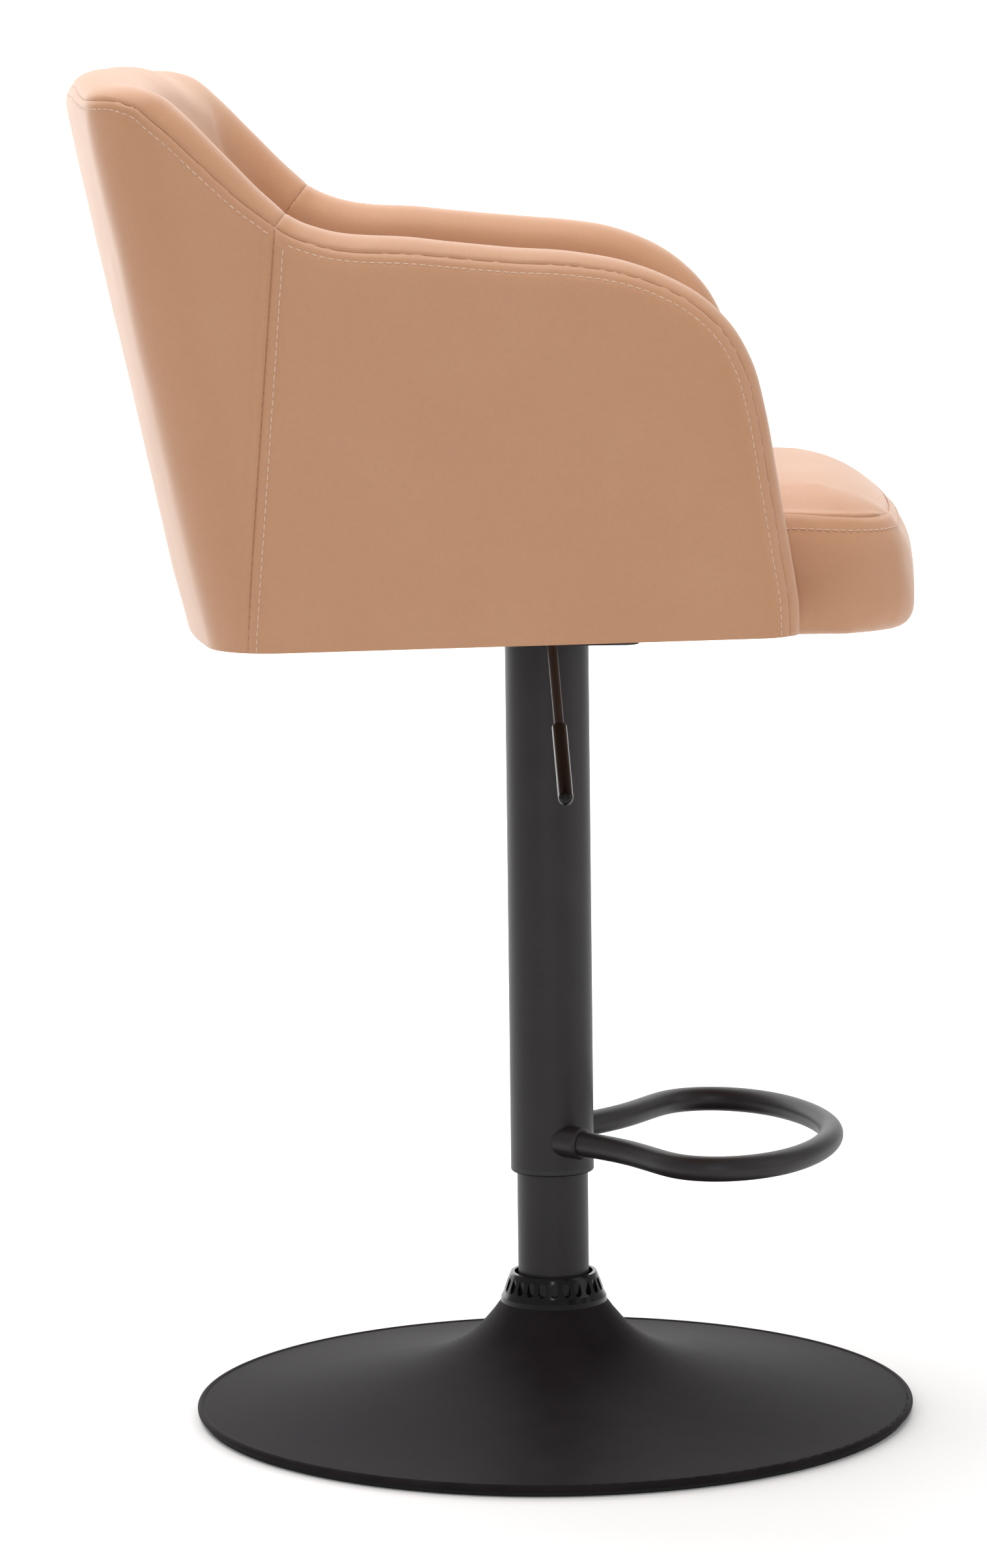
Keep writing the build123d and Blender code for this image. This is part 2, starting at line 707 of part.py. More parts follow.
with BuildPart() as seat_board:
    tub_prism(cover_t + frame_t, cover_t + frame_t, 26.0)
    with BuildSketch(Plane.XY.offset(plate_top)):
        with Locations((board_wide_x - 200.0, 0)):
            Rectangle(400.0, 600.0)
    extrude(amount=board_t, mode=Mode.INTERSECT)
    with BuildSketch(Plane.XY.offset(plate_top)) as front_board:
        with Locations((board_wide_x - 20.0, 0)):
            Rectangle(2 * (cushion_front - 13.0 - board_wide_x + 20.0), 2 * cushion_half - 16.0)
        fillet(front_board.vertices().group_by(Axis.X)[-1], 48.0)
    extrude(amount=board_t)
    with BuildSketch(Plane.XY.offset(plate_top)):
        with Locations(*bolt_spots):
            Circle(5.0)
    extrude(amount=board_t, mode=Mode.SUBTRACT)
    with BuildSketch(Plane.XY.offset(board_top - 1.5)):
        with Locations(*bolt_spots):
            Circle(9.5)
    extrude(amount=1.5, mode=Mode.SUBTRACT)
    add(screw_space.part, mode=Mode.SUBTRACT)
keep(seat_board.part, "seat_board")


def cushion_plan(z, inset, amount, taper=0.0):
    """Add one slab of the cushion: its plan brought in by an inset, drafted inward."""
    half = cushion_half - inset
    rear = back_x + back_wall + 3.0 + inset
    front = cushion_front - inset
    with BuildSketch(Plane.XY.offset(z)) as plan:
        with BuildLine():
            arc = ThreePointArc((rear + 22.0, half), (rear, 0), (rear + 22.0, -half))
            Polyline(arc @ 1, (front, -half), (front, half), arc @ 0)
        make_face()
        fillet(plan.vertices(), 60.0 - inset)
    extrude(plan.sketch, amount=amount, taper=taper)


wrap_t = 0.8  # cover folded under the board
bulge_z = 545.0  # fullest height of the boxing
seam_inset = 12.5
shoulder_rise = 16.0  # the crown rises steeply from the seam, then flattens
shoulder_inset = 13.0
crown_inset = 27.0
with BuildPart() as seat_cushion:
    cushion_plan(plate_top - wrap_t, 0, bulge_z - plate_top + wrap_t)
    fillet(seat_cushion.edges().group_by(Axis.Z)[0], 11.0)
    rise = cushion_seam - bulge_z
    cushion_plan(bulge_z, 0, rise, taper=atan2(seam_inset, rise) * 180 / pi)
    shoulder_draft = atan2(shoulder_inset, shoulder_rise) * 180 / pi
    cushion_plan(cushion_seam, seam_inset, shoulder_rise, taper=shoulder_draft)
    crown = cushion_top - cushion_seam - shoulder_rise
    crown_draft = atan2(crown_inset, crown) * 180 / pi
    cushion_plan(cushion_seam + shoulder_rise, seam_inset + shoulder_inset, crown, taper=crown_draft)
    with BuildSketch(Plane.XY.offset(450.0)):
        with Locations((board_wide_x - 300.0, 0)):
            Rectangle(600.0, 600.0)
    extrude(amount=board_top - 450.0, mode=Mode.SUBTRACT)
    with BuildSketch(Plane.XY.offset(plate_top)) as pocket:
        with Locations((board_wide_x - 20.0, 0)):
            Rectangle(2 * (cushion_front - 13.0 - board_wide_x + 20.0), 2 * cushion_half - 16.0)
        fillet(pocket.vertices().group_by(Axis.X)[-1], 48.0)
    extrude(amount=board_t, mode=Mode.SUBTRACT)
    with BuildSketch(Plane.XY.offset(plate_top - 2.0)) as opening:
        with Locations((board_wide_x - 20.0, 0)):
            Rectangle(2 * (cushion_front - 36.0 - board_wide_x + 20.0), 2 * cushion_half - 62.0)
        fillet(opening.vertices().group_by(Axis.X)[-1], 30.0)
    extrude(amount=4.0, mode=Mode.SUBTRACT)
keep(seat_cushion.part, "seat_cushion")

dust_t = 0.6
with BuildPart() as dust_cover:
    with BuildSketch(Plane.XY.offset(plate_top - wrap_t - dust_t)) as dust:
        with Locations((board_wide_x / 2 - 80.0, 0)):
            Rectangle(board_wide_x + 160.0, 2 * (tub_half - cover_t - frame_t) - 8.0)
        with Locations((board_wide_x - 40.0, 0)):
            Rectangle(2 * (cushion_front - 22.0 - board_wide_x + 40.0), 2 * cushion_half - 40.0)
        fillet(dust.vertices().group_by(Axis.X)[-1], 34.0)
        RectangleRounded(198.0, 158.0, 16.0, mode=Mode.SUBTRACT)
    extrude(amount=dust_t)
keep(dust_cover.part, "dust_cover")
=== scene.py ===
import json
import math

import bmesh
import bpy
import numpy as np
from mathutils import Matrix, Vector, noise
from mathutils.geometry import delaunay_2d_cdt


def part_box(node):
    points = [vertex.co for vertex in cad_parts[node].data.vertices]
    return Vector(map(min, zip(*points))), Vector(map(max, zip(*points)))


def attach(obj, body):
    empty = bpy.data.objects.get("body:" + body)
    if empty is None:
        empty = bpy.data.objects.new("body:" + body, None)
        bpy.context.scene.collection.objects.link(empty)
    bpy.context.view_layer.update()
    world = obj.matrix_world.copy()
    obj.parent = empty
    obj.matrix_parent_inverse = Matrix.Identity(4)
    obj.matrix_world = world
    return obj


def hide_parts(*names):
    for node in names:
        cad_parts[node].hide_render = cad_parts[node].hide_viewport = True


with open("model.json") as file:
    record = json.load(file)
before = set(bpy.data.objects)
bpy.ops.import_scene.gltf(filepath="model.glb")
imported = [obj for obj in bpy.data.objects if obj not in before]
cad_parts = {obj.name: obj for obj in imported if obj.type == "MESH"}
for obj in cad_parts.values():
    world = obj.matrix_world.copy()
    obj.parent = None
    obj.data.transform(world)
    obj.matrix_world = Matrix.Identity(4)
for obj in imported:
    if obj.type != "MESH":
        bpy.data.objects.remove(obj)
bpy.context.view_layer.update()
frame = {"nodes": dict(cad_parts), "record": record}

print("frame loaded", len(frame["nodes"]), "nodes")


def linear(hexColour):
    # sRGB hex to the linear light that shaders and lamps take
    channels = [int(hexColour[i:i + 2], 16) / 255 for i in (1, 3, 5)]
    return [c / 12.92 if c <= 0.04045 else ((c + 0.055) / 1.055) ** 2.4 for c in channels] + [1.0]


def addNode(tree, kind, links=None, stops=None, **settings):
    # a setting is a property of the node or, where it has none by that name, the value of an input
    made = tree.nodes.new("ShaderNode" + kind)
    for name, value in settings.items():
        if hasattr(made, name):
            setattr(made, name, value)
        else:
            made.inputs[name.replace("_", " ")].default_value = value
    for name, socket in (links or {}).items():
        tree.links.new(socket, made.inputs[name])
    if stops:  # a colour ramp's stops: a place from 0 to 1, and a hex colour or a grey
        elements = made.color_ramp.elements
        while len(elements) < len(stops):
            elements.new(0.5)
        for element, (position, colour) in zip(elements, stops):
            element.position = position
            element.color = linear(colour) if isinstance(colour, str) else (colour,) * 3 + (1,)
    return made


def newMaterial(name, **shaderValues):
    material = bpy.data.materials.new(name)
    material.use_nodes = True
    tree = material.node_tree
    shader = tree.nodes["Principled BSDF"]
    for socket, value in shaderValues.items():
        shader.inputs[socket.replace("_", " ")].default_value = value
    place = addNode(tree, "TexCoord").outputs["Object"]
    return material, tree, shader, place


# polyurethane coated cloth, embossed with a fine hide grain: soft broad sheen, small crossing creases, and a
# little painted shade darkening the creases in its colour
leatherLook = {
    "deep": "#bc8b69", "mid": "#bd8c6a", "pale": "#be8e6c",
    "grainMm": 1.5, "creaseMm": 7.0, "blotchMm": 60.0,
}


def coatedCloth():
    look = leatherLook
    material, tree, shader, place = newMaterial(
        "polyurethane coated cloth, embossed", Roughness=0.46, Specular_IOR_Level=0.42,
        Sheen_Weight=0.30, Sheen_Roughness=0.40, IOR=1.47)
    shader.inputs["Sheen Tint"].default_value = linear("#fff1e6")
    warp = addNode(tree, "TexNoise", {"Vector": place}, Scale=1000 / 9.0, Detail=2.0)
    small = addNode(tree, "VectorMath", {0: warp.outputs["Color"]}, operation="SCALE", Scale=0.0016)
    moved = addNode(tree, "VectorMath", {0: place, 1: small.outputs["Vector"]}, operation="ADD")
    cells = addNode(tree, "TexVoronoi", {"Vector": moved.outputs["Vector"]},
                    feature="DISTANCE_TO_EDGE", Scale=1000 / look["grainMm"])
    grain = addNode(tree, "ValToRGB", {"Fac": cells.outputs["Distance"]}, [(0.0, 0.0), (0.16, 1.0)])
    creases = addNode(tree, "TexNoise", {"Vector": moved.outputs["Vector"]},
                      Scale=1000 / look["creaseMm"], Detail=5.0, Roughness=0.62, Distortion=1.6)
    fineCrease = addNode(tree, "ValToRGB", {"Fac": creases.outputs["Fac"]},
                         [(0.44, 1.0), (0.5, 0.0), (0.56, 1.0)])
    height = addNode(tree, "Math", {0: grain.outputs["Color"], 1: fineCrease.outputs["Color"]},
                     operation="ADD")
    bump = addNode(tree, "Bump", {"Height": height.outputs["Value"]}, Strength=0.055, Distance=0.0003)
    tree.links.new(bump.outputs["Normal"], shader.inputs["Normal"])
    blotch = addNode(tree, "TexNoise", {"Vector": place}, Scale=1000 / look["blotchMm"], Detail=3.0)
    tone = addNode(tree, "ValToRGB", {"Fac": blotch.outputs["Fac"]},
                   [(0.3, look["deep"]), (0.5, look["mid"]), (0.7, look["pale"])])
    # painted shade: the base colour is darkened a little along the fine crease lines
    paintedCreaseShade = addNode(tree, "Mix", {6: tone.outputs["Color"], 7: fineCrease.outputs["Color"]},
                         data_type="RGBA", blend_type="MULTIPLY", Factor=0.035)
    tree.links.new(paintedCreaseShade.outputs[2], shader.inputs["Base Color"])
    rough = addNode(tree, "MapRange", {"Value": blotch.outputs["Fac"]}, To_Min=0.42, To_Max=0.52)
    tree.links.new(rough.outputs["Result"], shader.inputs["Roughness"])
    return material


# powder coat baked on steel: black with a faint orange peel, satin on the tubes and flatter on the base;
# its refraction is set below real paint's, which keeps the black deep under broad soft light
def powderCoat(name, gloss, roughLow, roughHigh):
    material, tree, shader, place = newMaterial(name, IOR=gloss, Specular_IOR_Level=0.5)
    shader.inputs["Base Color"].default_value = linear("#1b191b")
    peel = addNode(tree, "TexNoise", {"Vector": place}, Scale=1000 / 1.6, Detail=2.0, Roughness=0.5)
    speck = addNode(tree, "TexNoise", {"Vector": place}, Scale=1000 / 28.0, Detail=4.0)
    bump = addNode(tree, "Bump", {"Height": peel.outputs["Fac"]}, Strength=0.08, Distance=0.0002)
    tree.links.new(bump.outputs["Normal"], shader.inputs["Normal"])
    rough = addNode(tree, "MapRange", {"Value": speck.outputs["Fac"]}, To_Min=roughLow, To_Max=roughHigh)
    tree.links.new(rough.outputs["Result"], shader.inputs["Roughness"])
    tone = addNode(tree, "ValToRGB", {"Fac": speck.outputs["Fac"]}, [(0.3, "#1d191c"), (0.7, "#242023")])
    tree.links.new(tone.outputs["Color"], shader.inputs["Base Color"])
    return material


# ABS from a polished mould: deep black with sharp highlights and a few handling marks, its refraction
# set a little below the real one's for the same reason as the coat's
def polishedPlastic():
    material, tree, shader, place = newMaterial("ABS, polished mould", Specular_IOR_Level=0.3, IOR=1.4)
    marks = addNode(tree, "TexNoise", {"Vector": place}, Scale=1000 / 6.0, Detail=6.0)
    rough = addNode(tree, "MapRange", {"Value": marks.outputs["Fac"]}, To_Min=0.12, To_Max=0.24)
    tree.links.new(rough.outputs["Result"], shader.inputs["Roughness"])
    tone = addNode(tree, "ValToRGB", {"Fac": marks.outputs["Fac"]}, [(0.3, "#0d0c0d"), (0.7, "#131213")])
    tree.links.new(tone.outputs["Color"], shader.inputs["Base Color"])
    return material


# nylon from a spark eroded mould: even matt grain
def mattPlastic():
    material, tree, shader, place = newMaterial("nylon, textured mould", IOR=1.53)
    grit = addNode(tree, "TexNoise", {"Vector": place}, Scale=1000 / 0.8, Detail=3.0)
    bump = addNode(tree, "Bump", {"Height": grit.outputs["Fac"]}, Strength=0.15, Distance=0.0001)
    tree.links.new(bump.outputs["Normal"], shader.inputs["Normal"])
    rough = addNode(tree, "MapRange", {"Value": grit.outputs["Fac"]}, To_Min=0.45, To_Max=0.6)
    tree.links.new(rough.outputs["Result"], shader.inputs["Roughness"])
    tone = addNode(tree, "ValToRGB", {"Fac": grit.outputs["Fac"]}, [(0.3, "#161516"), (0.7, "#1d1c1d")])
    tree.links.new(tone.outputs["Color"], shader.inputs["Base Color"])
    return material


# moulded rubber: dull, slightly dusty grey black
def mouldedRubber():
    material, tree, shader, place = newMaterial("rubber, moulded", Specular_IOR_Level=0.3, IOR=1.52)
    dust = addNode(tree, "TexNoise", {"Vector": place}, Scale=1000 / 3.0, Detail=6.0, Roughness=0.7)
    bump = addNode(tree, "Bump", {"Height": dust.outputs["Fac"]}, Strength=0.2, Distance=0.0001)
    tree.links.new(bump.outputs["Normal"], shader.inputs["Normal"])
    rough = addNode(tree, "MapRange", {"Value": dust.outputs["Fac"]}, To_Min=0.68, To_Max=0.85)
    tree.links.new(rough.outputs["Result"], shader.inputs["Roughness"])
    tone = addNode(tree, "ValToRGB", {"Fac": dust.outputs["Fac"]}, [(0.3, "#141414"), (0.75, "#212120")])
    tree.links.new(tone.outputs["Color"], shader.inputs["Base Color"])
    return material


# bare metals: turned or plated, told apart by tone, gloss and the size of their marks
def bareMetal(name, dark, light, roughLow, roughHigh, markMm, stretch):
    material, tree, shader, place = newMaterial(name, Metallic=1.0)
    mapped = addNode(tree, "Mapping", {"Vector": place})
    mapped.inputs["Scale"].default_value = stretch
    marks = addNode(tree, "TexNoise", {"Vector": mapped.outputs["Vector"]}, Scale=1000 / markMm, Detail=5.0)
    tone = addNode(tree, "ValToRGB", {"Fac": marks.outputs["Fac"]}, [(0.3, dark), (0.7, light)])
    tree.links.new(tone.outputs["Color"], shader.inputs["Base Color"])
    rough = addNode(tree, "MapRange", {"Value": marks.outputs["Fac"]}, To_Min=roughLow, To_Max=roughHigh)
    tree.links.new(rough.outputs["Result"], shader.inputs["Roughness"])
    bump = addNode(tree, "Bump", {"Height": marks.outputs["Fac"]}, Strength=0.12, Distance=0.0001)
    tree.links.new(bump.outputs["Normal"], shader.inputs["Normal"])
    return material


# rotary cut birch plywood, unfinished: pale face grain, darker plies where an edge shows
def plywood():
    material, tree, shader, place = newMaterial("birch plywood, rotary cut", Roughness=0.62, IOR=1.5)
    mapped = addNode(tree, "Mapping", {"Vector": place})
    mapped.inputs["Scale"].default_value = (1.0, 9.0, 2.2)
    grain = addNode(tree, "TexNoise", {"Vector": mapped.outputs["Vector"]},
                    Scale=1000 / 34.0, Detail=7.0, Roughness=0.6, Distortion=1.2)
    tone = addNode(tree, "ValToRGB", {"Fac": grain.outputs["Fac"]},
                   [(0.3, "#a97f50"), (0.5, "#c49b69"), (0.72, "#d8b585")])
    tree.links.new(tone.outputs["Color"], shader.inputs["Base Color"])
    bump = addNode(tree, "Bump", {"Height": grain.outputs["Fac"]}, Strength=0.25, Distance=0.0002)
    tree.links.new(bump.outputs["Normal"], shader.inputs["Normal"])
    return material


# spun bonded polypropylene: thin black cloth with a diamond pattern of weld points
def spunCloth():
    material, tree, shader, place = newMaterial("polypropylene cloth, spun bonded", IOR=1.49)
    points = addNode(tree, "TexVoronoi", {"Vector": place}, feature="F1", Scale=1000 / 2.2, Randomness=0.15)
    fibres = addNode(tree, "TexNoise", {"Vector": place}, Scale=1000 / 1.0, Detail=6.0, Roughness=0.7)
    both = addNode(tree, "Math", {0: points.outputs["Distance"], 1: fibres.outputs["Fac"]}, operation="ADD")
    bump = addNode(tree, "Bump", {"Height": both.outputs["Value"]}, Strength=0.5, Distance=0.0002)
    tree.links.new(bump.outputs["Normal"], shader.inputs["Normal"])
    tone = addNode(tree, "ValToRGB", {"Fac": fibres.outputs["Fac"]}, [(0.3, "#121112"), (0.75, "#252425")])
    tree.links.new(tone.outputs["Color"], shader.inputs["Base Color"])
    rough = addNode(tree, "MapRange", {"Value": fibres.outputs["Fac"]}, To_Min=0.8, To_Max=0.95)
    tree.links.new(rough.outputs["Result"], shader.inputs["Roughness"])
    return material


# bonded polyester thread: twisted strands with a dull silk sheen
def sewingThread(name, dark, light):
    material, tree, shader, place = newMaterial(name, Specular_IOR_Level=0.35, IOR=1.5, Sheen_Weight=0.3)
    twist = addNode(tree, "TexWave", {"Vector": place}, wave_type="BANDS", bands_direction="DIAGONAL",
                    Scale=1000 / 2.4, Distortion=1.0)
    tone = addNode(tree, "ValToRGB", {"Fac": twist.outputs["Fac"]}, [(0.2, dark), (0.8, light)])
    tree.links.new(tone.outputs["Color"], shader.inputs["Base Color"])
    rough = addNode(tree, "MapRange", {"Value": twist.outputs["Fac"]}, To_Min=0.5, To_Max=0.7)
    tree.links.new(rough.outputs["Result"], shader.inputs["Roughness"])
    return material


# painted studio floor: even and pale
def studioPaint():
    material, tree, shader, place = newMaterial("floor paint, rolled matt", Specular_IOR_Level=0.15)
    stipple = addNode(tree, "TexNoise", {"Vector": place}, Scale=1000 / 400.0, Detail=2.0)
    tone = addNode(tree, "ValToRGB", {"Fac": stipple.outputs["Fac"]}, [(0.3, "#f6f6f6"), (0.7, "#fafafa")])
    tree.links.new(tone.outputs["Color"], shader.inputs["Base Color"])
    rough = addNode(tree, "MapRange", {"Value": stipple.outputs["Fac"]}, To_Min=0.75, To_Max=0.85)
    tree.links.new(rough.outputs["Result"], shader.inputs["Roughness"])
    return material


coverMaterial = coatedCloth()
coatMaterial = powderCoat("steel, satin powder coat", 1.42, 0.40, 0.48)
flatCoat = powderCoat("steel, flat powder coat", 1.1, 0.5, 0.58)
glossMaterial = polishedPlastic()
nylonMaterial = mattPlastic()
rubberMaterial = mouldedRubber()
plyMaterial = plywood()
dustMaterial = spunCloth()
paleThread = sewingThread("polyester thread, pale", "#c9a78f", "#dfc3ae")
darkThread = sewingThread("polyester thread, dark", "#7d5741", "#96694f")
turnedSteel = bareMetal("steel, turned", "#77756f", "#96948f", 0.28, 0.42, 1.2, (1, 1, 8))
zincSteel = bareMetal("steel, zinc plated", "#9b9a94", "#bcbab2", 0.25, 0.4, 4.0, (1, 1, 1))
groundRod = bareMetal("steel, hard chrome, ground", "#c9cacb", "#dddedf", 0.06, 0.14, 0.8, (1, 1, 10))
castIron = bareMetal("iron, sand cast", "#2e2d2c", "#474543", 0.6, 0.8, 2.5, (1, 1, 1))

slotLooks = {
    "black_coat": coatMaterial, "rubber": rubberMaterial, "iron": castIron, "zinc_steel": zincSteel,
    "plain_steel": turnedSteel, "bright_rod": groundRod, "black_plastic": nylonMaterial,
    "gloss_plastic": glossMaterial, "plywood": plyMaterial, "faux_leather": coverMaterial,
    "dust_cloth": dustMaterial,
}
for entry in frame["record"]["subparts"]:
    cadNode = frame["nodes"][entry["node"]]
    cadNode.data.materials.clear()
    cadNode.data.materials.append(slotLooks[entry["material_slot"]])
frame["nodes"]["base_shell"].data.materials[0] = flatCoat
print("materials ready")


# the wall follows a plan of a shallow arc, two corners and two straight sides, and leans back as it rises
tub = {
    "half": 0.240, "rear": -0.221, "corner": 0.046,
    "innerHalf": 0.195, "innerRear": -0.169, "innerCorner": 0.026,
    "rise": 0.030, "lean": 0.212, "planZ": 0.509,
    "capHigh": 0.0215,  # how far the rim's rounding reaches down each face
    "blendX": -0.172,  # the sides' sections end here and the corners' begin
    "bottomRear": (-0.225, 0.507), "bottomFront": (0.150, 0.514),
    "kneeX": -0.150,  # the seam across the rim where the arm meets the back
    "outerSeamLean": 0.085, "innerSeamLean": -0.06, "outerSeamFootX": -0.178,  # down from that seam
    "liningFoot": 0.530, "liningFrontX": 0.118, "backFoot": 0.5075,
    "puff": 0.0014, "puffRun": 0.016, "padPuff": 0.0042, "padRun": 0.045, "padSeamRun": 0.02,
    "groove": 0.0007, "grooveWide": 0.0013, "crossGroove": 0.0004, "crossWide": 0.0015,
    "stitchGap": 0.0056, "stitchDimple": 0.0004,
    "rimWide": 0.062, "rimPuff": 0.0005, "rimPuffRun": 0.009,  # the wrapped strip, seam to seam
    "thick": 0.0013, "net": 0.0075, "seamStep": 0.004, "fill": 0.6,
}
# slow hand-made unevenness, and the puckers along a seam
hand = {
    "slowMm": 75, "slowHigh": 0.0007, "midMm": 28, "midHigh": 0.0003, "quiet": 0.02,
    "puckerMm": 9.5, "puckerHigh": 0.0006, "puckerReach": 0.007, "puckerStart": 0.002,
}
# where each piece starts in the noise
seeds = {"side": 4.1, "back": 9.3, "arm": 14.2, "backPad": 19.6, "rim": 1.7,
         "cushion": 31.0, "gather": 44.0}
# crest of the rim seen from the side, from the foot of the arm's front up and back over the top
rimKeys = [
    (0.1447, 0.5137), (0.1447, 0.5270), (0.1390, 0.5670), (0.1325, 0.6070), (0.1260, 0.6450),
    (0.1185, 0.6725), (0.1070, 0.6935), (0.0900, 0.7105), (0.0680, 0.7235), (0.0440, 0.7320),
    (0.0160, 0.7370), (-0.0200, 0.7400), (-0.0745, 0.7460), (-0.1290, 0.7519), (-0.1450, 0.7583),
    (-0.1590, 0.7695), (-0.1870, 0.7975), (-0.2150, 0.8255), (-0.2290, 0.8370), (-0.2450, 0.8420),
    (-0.2700, 0.8420), (-0.3200, 0.8420), (-0.4000, 0.8420),
]
# drop of the outer seam below the crest, by its place along the crest from the arm's foot
seamDrops = [(0.0, 0.0052), (0.16, 0.0052), (0.24, 0.0062), (0.34, 0.0078), (0.46, 0.0090),
             (0.50, 0.0125), (0.54, 0.0150), (0.60, 0.0140), (0.66, 0.0085), (1.2, 0.0085)]


def smoothLine(keys, perSpan=14):
    pts = np.array(keys, float)
    ends = np.vstack([2 * pts[0] - pts[1], pts, 2 * pts[-1] - pts[-2]])
    out = []
    for i in range(1, len(ends) - 2):
        p0, p1, p2, p3 = ends[i - 1:i + 3]
        d0, d1, d2 = (max(np.linalg.norm(b - a), 1e-9) for a, b in ((p0, p1), (p1, p2), (p2, p3)))
        m1 = ((p1 - p0) / d0 - (p2 - p0) / (d0 + d1) + (p2 - p1) / d1) * d1
        m2 = ((p2 - p1) / d1 - (p3 - p1) / (d1 + d2) + (p3 - p2) / d2) * d1
        for j in range(perSpan):
            t = j / perSpan
            out.append((2 * t**3 - 3 * t**2 + 1) * p1 + (t**3 - 2 * t**2 + t) * m1
                       + (3 * t**2 - 2 * t**3) * p2 + (t**3 - t**2) * m2)
    out.append(ends[-2])
    return np.array(out)


def alongLine(line):
    return np.concatenate([[0], np.cumsum(np.linalg.norm(np.diff(line, axis=0), axis=1))])


rimLine = smoothLine(rimKeys)
rimLong = alongLine(rimLine)


def crestHeight(x):
    back = rimLine[:, 0] < -0.12
    return np.interp(-x, -rimLine[back, 0], rimLine[back, 1])


def wallPlan(half, rear, corner):
    rise = tub["rise"]
    big = (half**2 + rise**2) / (2 * rise)
    mid = rear + big
    foot = mid - math.sqrt((big - corner)**2 - (half - corner)**2)
    turn = math.atan2(half - corner, mid - foot)
    arcLong = big * turn
    cornerLong = corner * (math.pi / 2 - turn)
    return {"big": big, "mid": mid, "foot": foot, "turn": turn, "corner": corner, "half": half,
            "arcLong": arcLong, "sideStart": arcLong + cornerLong}


outerPlan = wallPlan(tub["half"], tub["rear"], tub["corner"])
innerPlan = wallPlan(tub["innerHalf"], tub["innerRear"], tub["innerCorner"])


def planPoint(plan, t):
    # t runs from the middle of the back towards the left arm; the right side is its mirror
    a = np.minimum(t, plan["arcLong"]) / plan["big"]
    b = plan["turn"] + np.clip(t - plan["arcLong"], 0, plan["sideStart"] - plan["arcLong"]) / plan["corner"]
    x = np.where(t < plan["arcLong"], plan["mid"] - plan["big"] * np.cos(a),
                 np.where(t < plan["sideStart"], plan["foot"] - plan["corner"] * np.cos(b),
                          plan["foot"] + t - plan["sideStart"]))
    y = np.where(t < plan["arcLong"], plan["big"] * np.sin(a),
                 np.where(t < plan["sideStart"],
                          plan["half"] - plan["corner"] + plan["corner"] * np.sin(b), plan["half"]))
    angle = np.where(t < plan["arcLong"], a, np.minimum(b, math.pi / 2))
    return x, y, -np.cos(angle), np.sin(angle)


def wallPoint(plan, t, z):
    side = np.sign(t) + (t == 0)
    x, y, nx, ny = planPoint(plan, np.abs(t))
    return (np.stack([x - tub["lean"] * (z - tub["planZ"]), y * side, z], -1),
            np.stack([nx, ny * side, np.zeros_like(nx)], -1))


def crestPoint(plan, t):
    # where the wall at t meets the rim's outline
    x0 = planPoint(plan, np.abs(t))[0]
    z = np.full_like(x0, 0.8)
    for _ in range(40):
        z = crestHeight(x0 - tub["lean"] * (z - tub["planZ"]))
    return z


# sections of the left half, from the arm's foot to the middle of the back
kneeS = float(np.interp(-tub["kneeX"], -rimLine[rimLine[:, 0] < 0.0, 0], rimLong[rimLine[:, 0] < 0.0]))
blendS = float(np.interp(-tub["blendX"], -rimLine[rimLine[:, 0] < 0.0, 0], rimLong[rimLine[:, 0] < 0.0]))
nearSeam = np.array([0, 0.9, 1.8, 2.8, 4.0, 5.4]) / 1000
sideS = np.linspace(0, blendS, 190)
sideS = sideS[np.abs(sideS - kneeS) > 0.0062]
sideS = np.unique(np.concatenate([sideS, kneeS - nearSeam, kneeS + nearSeam]))
kneeAt = int(np.argmin(np.abs(sideS - kneeS)))
backSteps = 130


def sections(plan):
    x = np.interp(sideS, rimLong, rimLine[:, 0])
    z = np.interp(sideS, rimLong, rimLine[:, 1])
    sideT = plan["sideStart"] + x + tub["lean"] * (z - tub["planZ"]) - plan["foot"]
    backT = np.linspace(sideT[-1], 0, backSteps + 1)[1:]
    t = np.concatenate([sideT, backT])
    z = np.concatenate([z, crestPoint(plan, backT)])
    pos, normal = wallPoint(plan, t, z)
    run = np.gradient(pos, axis=0)
    run[-1] = (0, -1, 0)
    slope = np.array([-tub["lean"], 0, 1.0])
    face = np.cross(np.cross([0, 0, 1.0], normal), slope)
    face /= np.linalg.norm(face, axis=1, keepdims=True)
    up = np.cross(run, face)
    up /= np.linalg.norm(up, axis=1, keepdims=True)
    up *= np.where(up[:, 2] + 0.6 * up[:, 0] < 0, -1, 1)[:, None]
    tangent = np.cross([0, 0, 1.0], normal)
    tangent *= np.where(np.sum(tangent * [1, 0, 0], axis=1) < 0, -1, 1)[:, None]
    tangent[-1] = (0, 1, 0)
    alongT = np.sum((up - up[:, 2:3] * slope) * tangent, axis=1)
    return t, z, pos, up, np.stack([alongT, up[:, 2]], -1)


outerT, outerZ, outerPos, outerUp, outerUp2 = sections(outerPlan)
innerT, innerZ, innerPos, innerUp, innerUp2 = sections(innerPlan)
backLong = np.linspace(0, float(outerT[len(sideS) - 1]), backSteps + 1)[1:]
crestS = np.concatenate([sideS, sideS[-1] + backLong])
seamDrop = np.interp(crestS, *np.array(seamDrops).T)
seamPhi = np.arcsin(1 - seamDrop / tub["capHigh"])
across = innerPos - outerPos
print("tub sections", len(crestS), "knee", kneeAt, "crest", round(float(crestS[-1]), 3))


